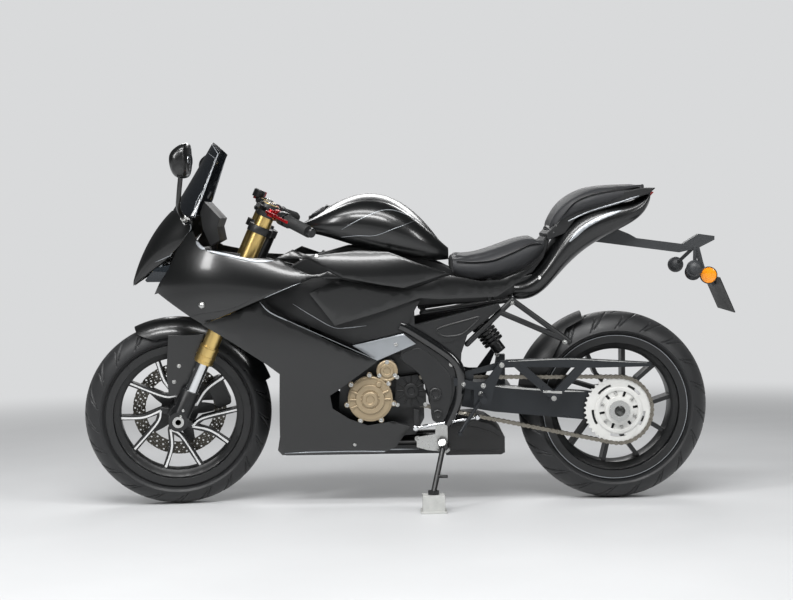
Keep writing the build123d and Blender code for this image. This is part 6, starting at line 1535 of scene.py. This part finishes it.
@dataclass
class RearEnd(Assembly):
    """Reflectors, screws of the frame and the fender, and rings of the foot pegs."""

    reflector: tuple[float, float] = (1705.0, 729.0)

    def tail(self) -> None:
        """Amber reflectors on both sides, in black rims."""
        disc = ringed(self.reflector, -98.5, [(0, -1), (25, -1), (25, 1.5), (22, 3), (0, 3.6)], 40)
        self.add("reflectors", both(disc), AMBER, "lamp_lens")
        ring = ringed(self.reflector, -98, [(25.2, -3), (27.5, -3), (27.5, 3), (26, 4), (25.2, 3),
                                            (25.2, -3)], 40)
        self.add("reflector_rims", both(ring), PLASTIC, "trim_black")

    def frame_screws(self) -> Skin:
        """Screws on the frame spars, the rearset plates and the shock's ends."""
        groups = [("main_frame", [(748, 570), (884, 466), (903, 410), (874, 296), (832, 374), (836, 308)]),
                  ("footrests", [(1040, 462), (982, 398), (974, 372), (918, 404)]),
                  ("swingarm", [(1206, 351), (918, 501), (930, 455), (1040, 476)]),
                  ("subframe", [(1077, 655), (1240, 530), (1290, 612)]),
                  ("stand_bracket", [(774, 228)])]
        head = joined([button(8.2, 1.6, 20, 0.1), button(5.6, 5.0, 6)])
        skins = [seated((name,), [spot], head) for name, spots in groups for spot in spots
                 if len(landing((name,), [spot])[0])]
        return joined(skins)

    def fender_screws(self) -> Skin:
        """Screws that hold the front fender's plates."""
        head = joined([button(6.5, 1.4, 20, 0.1), button(4.6, 4.0, 16)])
        return seated(("front_fender",), [(18, 464), (1, 413), (130, 411)], head)

    def pegs(self) -> Skin:
        """Rings cut round the foot pegs."""
        ring = [(11.2, -1.4), (12.4, -1.0), (12.4, 1.0), (11.2, 1.4), (10.4, 0), (11.2, -1.4)]
        return both(joined([spun(ring, 24).moved(shift(979, -y, 362)) for y in range(184, 250, 6)]))

    def build(self) -> None:
        """Builds the rear end's detail."""
        self.tail()
        self.add("frame_screws", self.frame_screws(), ZINC, "axle_steel", edge=0.4)
        self.add("fender_screws", self.fender_screws(), ZINC, "axle_steel", Ride.STEERING, edge=0.4)
        self.add("peg_rings", self.pegs(), GREY_ARM, "arm_grey")


# Frame covers, chain and sprocket

@dataclass
class Frame(Assembly):
    """Round frame rails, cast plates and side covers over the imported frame."""

    rail_radius: float = 16.5
    rail_place: float = -163.0
    rail: tuple[tuple[float, float], ...] = ((724, 590), (752, 577), (838, 521), (886, 484), (908, 448),
                                             (911, 400), (898, 340), (868, 274))
    plate_face: float = -166.0

    def rails(self) -> Skin:
        """Round rail on each side, from the silver panel down to the pivot."""
        line = smooth_path([(x, self.rail_place, z) for x, z in self.rail], 60)
        return both(tube(line, self.rail_radius, 24))

    def cast_plates(self) -> Skin:
        """Engine plate in front of each rail, with its two round bosses."""
        outline = smooth_path([(726, 488), (762, 516), (800, 512), (846, 474), (880, 430), (884, 372),
                               (868, 306), (846, 284), (822, 292), (816, 336), (806, 388),
                               (780, 440)], 60, closed=True)
        plate = slab(outline, self.plate_face + 14, self.plate_face - 3)
        bosses = []
        for spot, r in (((832, 374), 20), ((838, 310), 15)):
            boss = [(0, 0), (r, 0), (r, 7), (r - 3, 9), (r * 0.6, 9), (r * 0.55, 5), (0, 5)]
            bosses.append(ringed(spot, self.plate_face - 2, boss, 32))
        return both(joined([plate] + bosses))

    def side_covers(self) -> Skin:
        """Triangular covers behind the rails, each with a raised frame round its recess."""
        outer = [(776, 588), (840, 606), (930, 630), (1034, 654), (1012, 628), (960, 580), (930, 556),
                 (880, 536), (846, 536)]
        inner = [(842, 578), (930, 604), (972, 612), (938, 576), (908, 558), (858, 556)]
        ridge = smooth_path([(x, self.plate_face - 3, z) for x, z in inner], 48, closed=True)
        return both(joined([slab(outer, self.plate_face + 6, self.plate_face - 3),
                            tube(ridge, 3.0, 8, True)]))

    def build(self) -> None:
        """Builds the frame's covers."""
        self.add("frame_rails", self.rails(), GLOSS, "frame_black")
        self.add("cast_plates", self.cast_plates(), CASTING, "frame_black", edge=2.0)
        self.add("side_covers", self.side_covers(), CASTING, "frame_black", edge=1.6)


@dataclass
class Drive(Assembly):
    """Roller chain made link by link, and the cut-outs of the rear sprocket."""

    pitch: float = 15.875
    front: tuple[float, float] = (757.0, 380.0)
    rear: tuple[float, float] = (1415.0, 306.0)
    front_teeth: int = 16
    rear_teeth: int = 42
    place: float = -118.0
    plate_radius: float = 6.7
    waist: float = 4.6
    inner: tuple[float, float] = (4.1, 5.6)
    outer: tuple[float, float] = (5.8, 7.3)
    pin: tuple[float, float] = (2.7, 8.4)
    roller: float = 5.1
    mesh_reach: float = 128.0

    def pins(self) -> Array:
        """X and Z of every pin, a whole number of them, evenly over two straight runs and two arcs."""
        small, large = (self.pitch / (2 * math.sin(math.pi / n)) for n in (self.front_teeth, self.rear_teeth))
        front, rear = np.array(self.front), np.array(self.rear)
        gap = rear - front
        length = float(np.hypot(*gap))
        tilt, lap = math.atan2(gap[1], gap[0]), math.acos((small - large) / length)
        run = length * math.sin(lap)
        spans = np.cumsum([run, large * 2 * lap, run, small * 2 * (math.pi - lap)])
        count = round(spans[-1] / self.pitch)
        far = np.arange(count) * spans[-1] / count
        turn = np.select([far < spans[0], far < spans[1], far < spans[2]],
                         [tilt + lap, tilt + lap - (far - spans[0]) / large, tilt - lap],
                         tilt - lap - (far - spans[2]) / small)
        share = np.select([far < spans[0], far < spans[1], far < spans[2]],
                          [far / run, 1.0, 1 - (far - spans[1]) / run], 0.0)[:, None]
        out = np.stack([np.cos(turn), np.sin(turn)], -1)
        return front + share * gap + out * (small + (large - small) * share)

    def link(self, right: float, left: float) -> Skin:
        """Waisted side plate of one link, about its middle."""
        angle = np.radians(np.linspace(-115, 115, 7))
        end = np.stack([self.pitch / 2 + self.plate_radius * np.cos(angle),
                        self.plate_radius * np.sin(angle)], -1)
        outline = np.concatenate([end, [(0, self.waist)], -end, [(0, -self.waist)]])
        return slab(outline, right, left)

    def chain(self) -> Skin:
        """Inner and outer plates by turns, with their pins, and rollers clear of the sprocket."""
        pins = self.pins()
        following = np.roll(pins, -1, 0)
        middle, ahead = (pins + following) / 2, unit(following - pins)
        pieces = []
        for index, (spot, way) in enumerate(zip(middle, ahead)):
            spin = turn_about((0, 1, 0), -math.degrees(math.atan2(way[1], way[0])))
            low, high = self.outer if index % 2 else self.inner
            place = shift(spot[0], self.place, spot[1]) @ spin
            pieces += [self.link(low, high).moved(place), self.link(-high, -low).moved(place)]
            radius, reach = self.pin
            meshed = np.hypot(*(pins[index] - self.rear)) < self.mesh_reach
            spot = shift(pins[index][0], self.place, pins[index][1])
            for low, high in [(-reach, -4.2), (4.2, reach)] if meshed else [(-reach, reach)]:
                pieces.append(spun([(0, low), (radius, low + 0.4), (radius, high - 0.4), (0, high)],
                                   8).moved(spot))
            if not meshed:
                drum = [(0, -4), (self.roller, -4), (self.roller, 4), (0, 4)]
                pieces.append(spun(drum, 10).moved(spot))
        return joined(pieces)

    def sprocket(self) -> None:
        """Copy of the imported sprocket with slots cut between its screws."""
        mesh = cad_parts["rear_sprocket"].data.copy()
        welded(mesh, outward=False)
        mesh.materials.clear()
        mesh.materials.append(PALE.material())
        thing = linked("slotted_sprocket", mesh)
        slots = []
        for turn in np.arange(6) * 60 + 50:
            angle = np.radians(np.linspace(-90, 90, 9))
            end = np.stack([7.5 + 4.4 * np.cos(angle), 4.4 * np.sin(angle)], -1)
            oblong = slab(np.concatenate([end, -end]), -150, -100)
            slots.append(oblong.moved(turn_about((0, 1, 0), turn) @ shift(55.5, 0, 0)))
        cutter = mesh_of("slot_cutter", joined(slots), REAR_WHEEL)
        cut = thing.modifiers.new("slots", "BOOLEAN")
        cut.operation = "DIFFERENCE"
        cut.object = cutter
        Seats.bake(thing)
        bpy.data.objects.remove(cutter)
        shaded(thing.data)
        round_edges(thing, 0.6)
        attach(thing, Ride.REAR_WHEEL.value)
        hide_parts("rear_sprocket")
        log.info("built slotted_sprocket")

    def build(self) -> None:
        """Builds the chain and the sprocket."""
        self.add("linked_chain", self.chain(), CHAIN, "chain_steel", stands_for=("drive_chain",))
        self.sprocket()


# Small fittings

@dataclass
class Fittings(Assembly):
    """Liner, seat bases, strap, lamp backs, radiator fins, and the raised lines of several parts, of which
    those on the swingarm and the front fender are painted highlights.
    """

    fin_gap: float = 7.0

    def strap(self) -> Skin:
        """Ribbed strap at the front of the passenger's pad."""
        pieces = []
        for x, z in ((1205, 872), (1214, 892)):
            half = np.linspace(-1, 1, 25)
            y = 86 * np.sin(half * math.pi / 2)
            drop = 22 * (1 - np.cos(half * math.pi / 2))
            pieces.append(tube(np.stack([x + drop * 0.55, y, z + 14 - drop * 0.8], -1), 7.5, 12))
        return joined(pieces)

    def lamp_backs(self) -> Skin:
        """Dark shells behind the clear lenses."""
        outline = [(-84, 738), (-48, 782), (4, 793), (2, 770), (-28, 737), (-76, 733)]
        return both(slab(outline, -36, -40))

    def fins(self) -> Skin:
        """Thin fins across the radiator, between its packed corners."""
        low, high = (np.array(corner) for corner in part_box("radiator"))
        back = np.linalg.inv(PARKED)
        middle = (back @ np.append((low + high) / 2 / MM, 1.0))[:3]
        half = (high - low)[1] / MM / 2 - 24
        tall = (high - low)[2] / MM / 2 - 26
        pieces = []
        for row in np.arange(-tall, tall, self.fin_gap):
            hits = [cast(("radiator",), (middle[0] - 200, y, middle[2] + row), (1, 0, 0))
                    for y in np.linspace(-half, half, 24)]
            line = [hit[0] for hit in hits if hit]
            if len(line) > 8:
                pieces.append(ribbon(np.array(line), np.tile((-1.0, 0.0, 0.0), (len(line), 1)), 1.6, 2.4))
        return joined(pieces)

    def exhaust_edges(self) -> Skin:
        """Raised lines along the top and the foot of the exhaust box."""
        return trimmed([(("exhaust",), [(884, 262), (950, 258), (1010, 240), (1040, 222)], 4.0),
                        (("exhaust",), [(884, 184), (950, 180), (1000, 180), (1042, 182)], 4.0)], 1.6, (-1,))

    def arm_painted_highlight_lines(self) -> Skin:
        """Painted highlights: pale strips along the upper bevels of the swingarm and of its truss, where they
        face the light above.
        """
        beam = [(1010, 388), (1100, 379), (1200, 371), (1310, 364)]
        rail = [(1062, 470), (1160, 474), (1262, 475), (1380, 467), (1500, 459)]
        return trimmed([(("swingarm",), beam, 7.0), (("swingarm",), rail, 4.0)], 1.2, (-1,))

    def fender_painted_highlights(self) -> Skin:
        """Painted highlights: pale strips along the edge of the front fender's tip and of its rear stay."""
        return trimmed([(("front_fender",), [(-128, 590), (-90, 606), (-50, 614), (-20, 615)], 3.0),
                        (("front_fender",), [(30, 386), (66, 440), (92, 500), (104, 548)], 2.4)], 1.0, (-1,))

    def tail_lines(self) -> Skin:
        """Pale wedge on each side of the tail."""
        return trimmed([(("tail_cowl",), [(1262, 842), (1310, 886), (1370, 918), (1430, 938)], 13.0)], 1.2)

    def build(self) -> None:
        """Builds the fittings."""
        liner = slab([(352, 762), (420, 800), (560, 838), (700, 835), (860, 778), (1000, 706), (1150, 742),
                      (1156, 704), (1030, 654), (800, 642), (560, 655), (420, 690), (356, 736)], 84, -84)
        self.add("inner_liner", liner, PLASTIC, "trim_black", edge=6.0)
        seat_base = slab([(990, 700), (1080, 716), (1150, 745), (1185, 790), (1205, 850), (1190, 858),
                          (1150, 800), (1080, 768), (1000, 738)], 80, -80)
        self.add("seat_base", seat_base, PLASTIC, "trim_black", edge=4.0)
        pad_base = slab([(1196, 846), (1252, 868), (1290, 918), (1400, 950), (1520, 990), (1540, 1008),
                         (1490, 1008), (1380, 986), (1280, 950), (1214, 890), (1190, 866)], 92, -92)
        self.add("pad_base", pad_base, PLASTIC, "trim_black", edge=4.0)
        line = smooth_path([(1262, -91, 906), (1330, -92, 936), (1420, -92, 962), (1500, -88, 988),
                            (1534, -76, 1003)], 40)
        self.add("pad_lines", both(tube(line, 2.6, 10)), SILVER_AND_PAINTED_HIGHLIGHT, "trim_silver")
        self.add("pad_strap", self.strap(), VINYL_PLAIN, "seat_cover")
        self.add("lamp_backs", self.lamp_backs(), PLASTIC, "trim_black")
        self.add("radiator_fins", self.fins(), FIN, "radiator_black")
        self.add("exhaust_edges", self.exhaust_edges(), HOT, "exhaust_dark")
        # painted highlights along the swingarm's upper bevels
        self.add("arm_painted_highlights", self.arm_painted_highlight_lines(), ZINC, "arm_grey")
        # painted highlights along the front fender's edges
        self.add("fender_painted_highlights", self.fender_painted_highlights(), SILVER_AND_PAINTED_HIGHLIGHT, "trim_silver", Ride.STEERING)
        self.add("tail_lines", self.tail_lines(), SILVER_AND_PAINTED_HIGHLIGHT, "trim_silver")
        rubber = spun([(0, 0), (20, 0), (20, 5), (16, 8), (0, 8)], 24)
        self.add("seat_stop", rubber.moved(aimed((1176, 0, 838), (-0.2, 0, 1)) @ np.diag([1, 1, 1.8, 1])),
                 GRIP, "grip_rubber")


def main() -> None:
    """Builds the studio and every sub-assembly in order."""
    logging.basicConfig(level=logging.INFO, format="%(name)s: %(message)s")
    bpy.context.scene.view_settings.view_transform = "Standard"
    Studio().build()
    dress_nodes()
    FrontWheel().build()
    RearWheel().build()
    FrontEnd().build()
    Bodywork().build()
    Seats().build()
    Engine().build()
    RearEnd().build()
    Frame().build()
    Drive().build()
    Fittings().build()


if __name__ == "__main__":
    main()
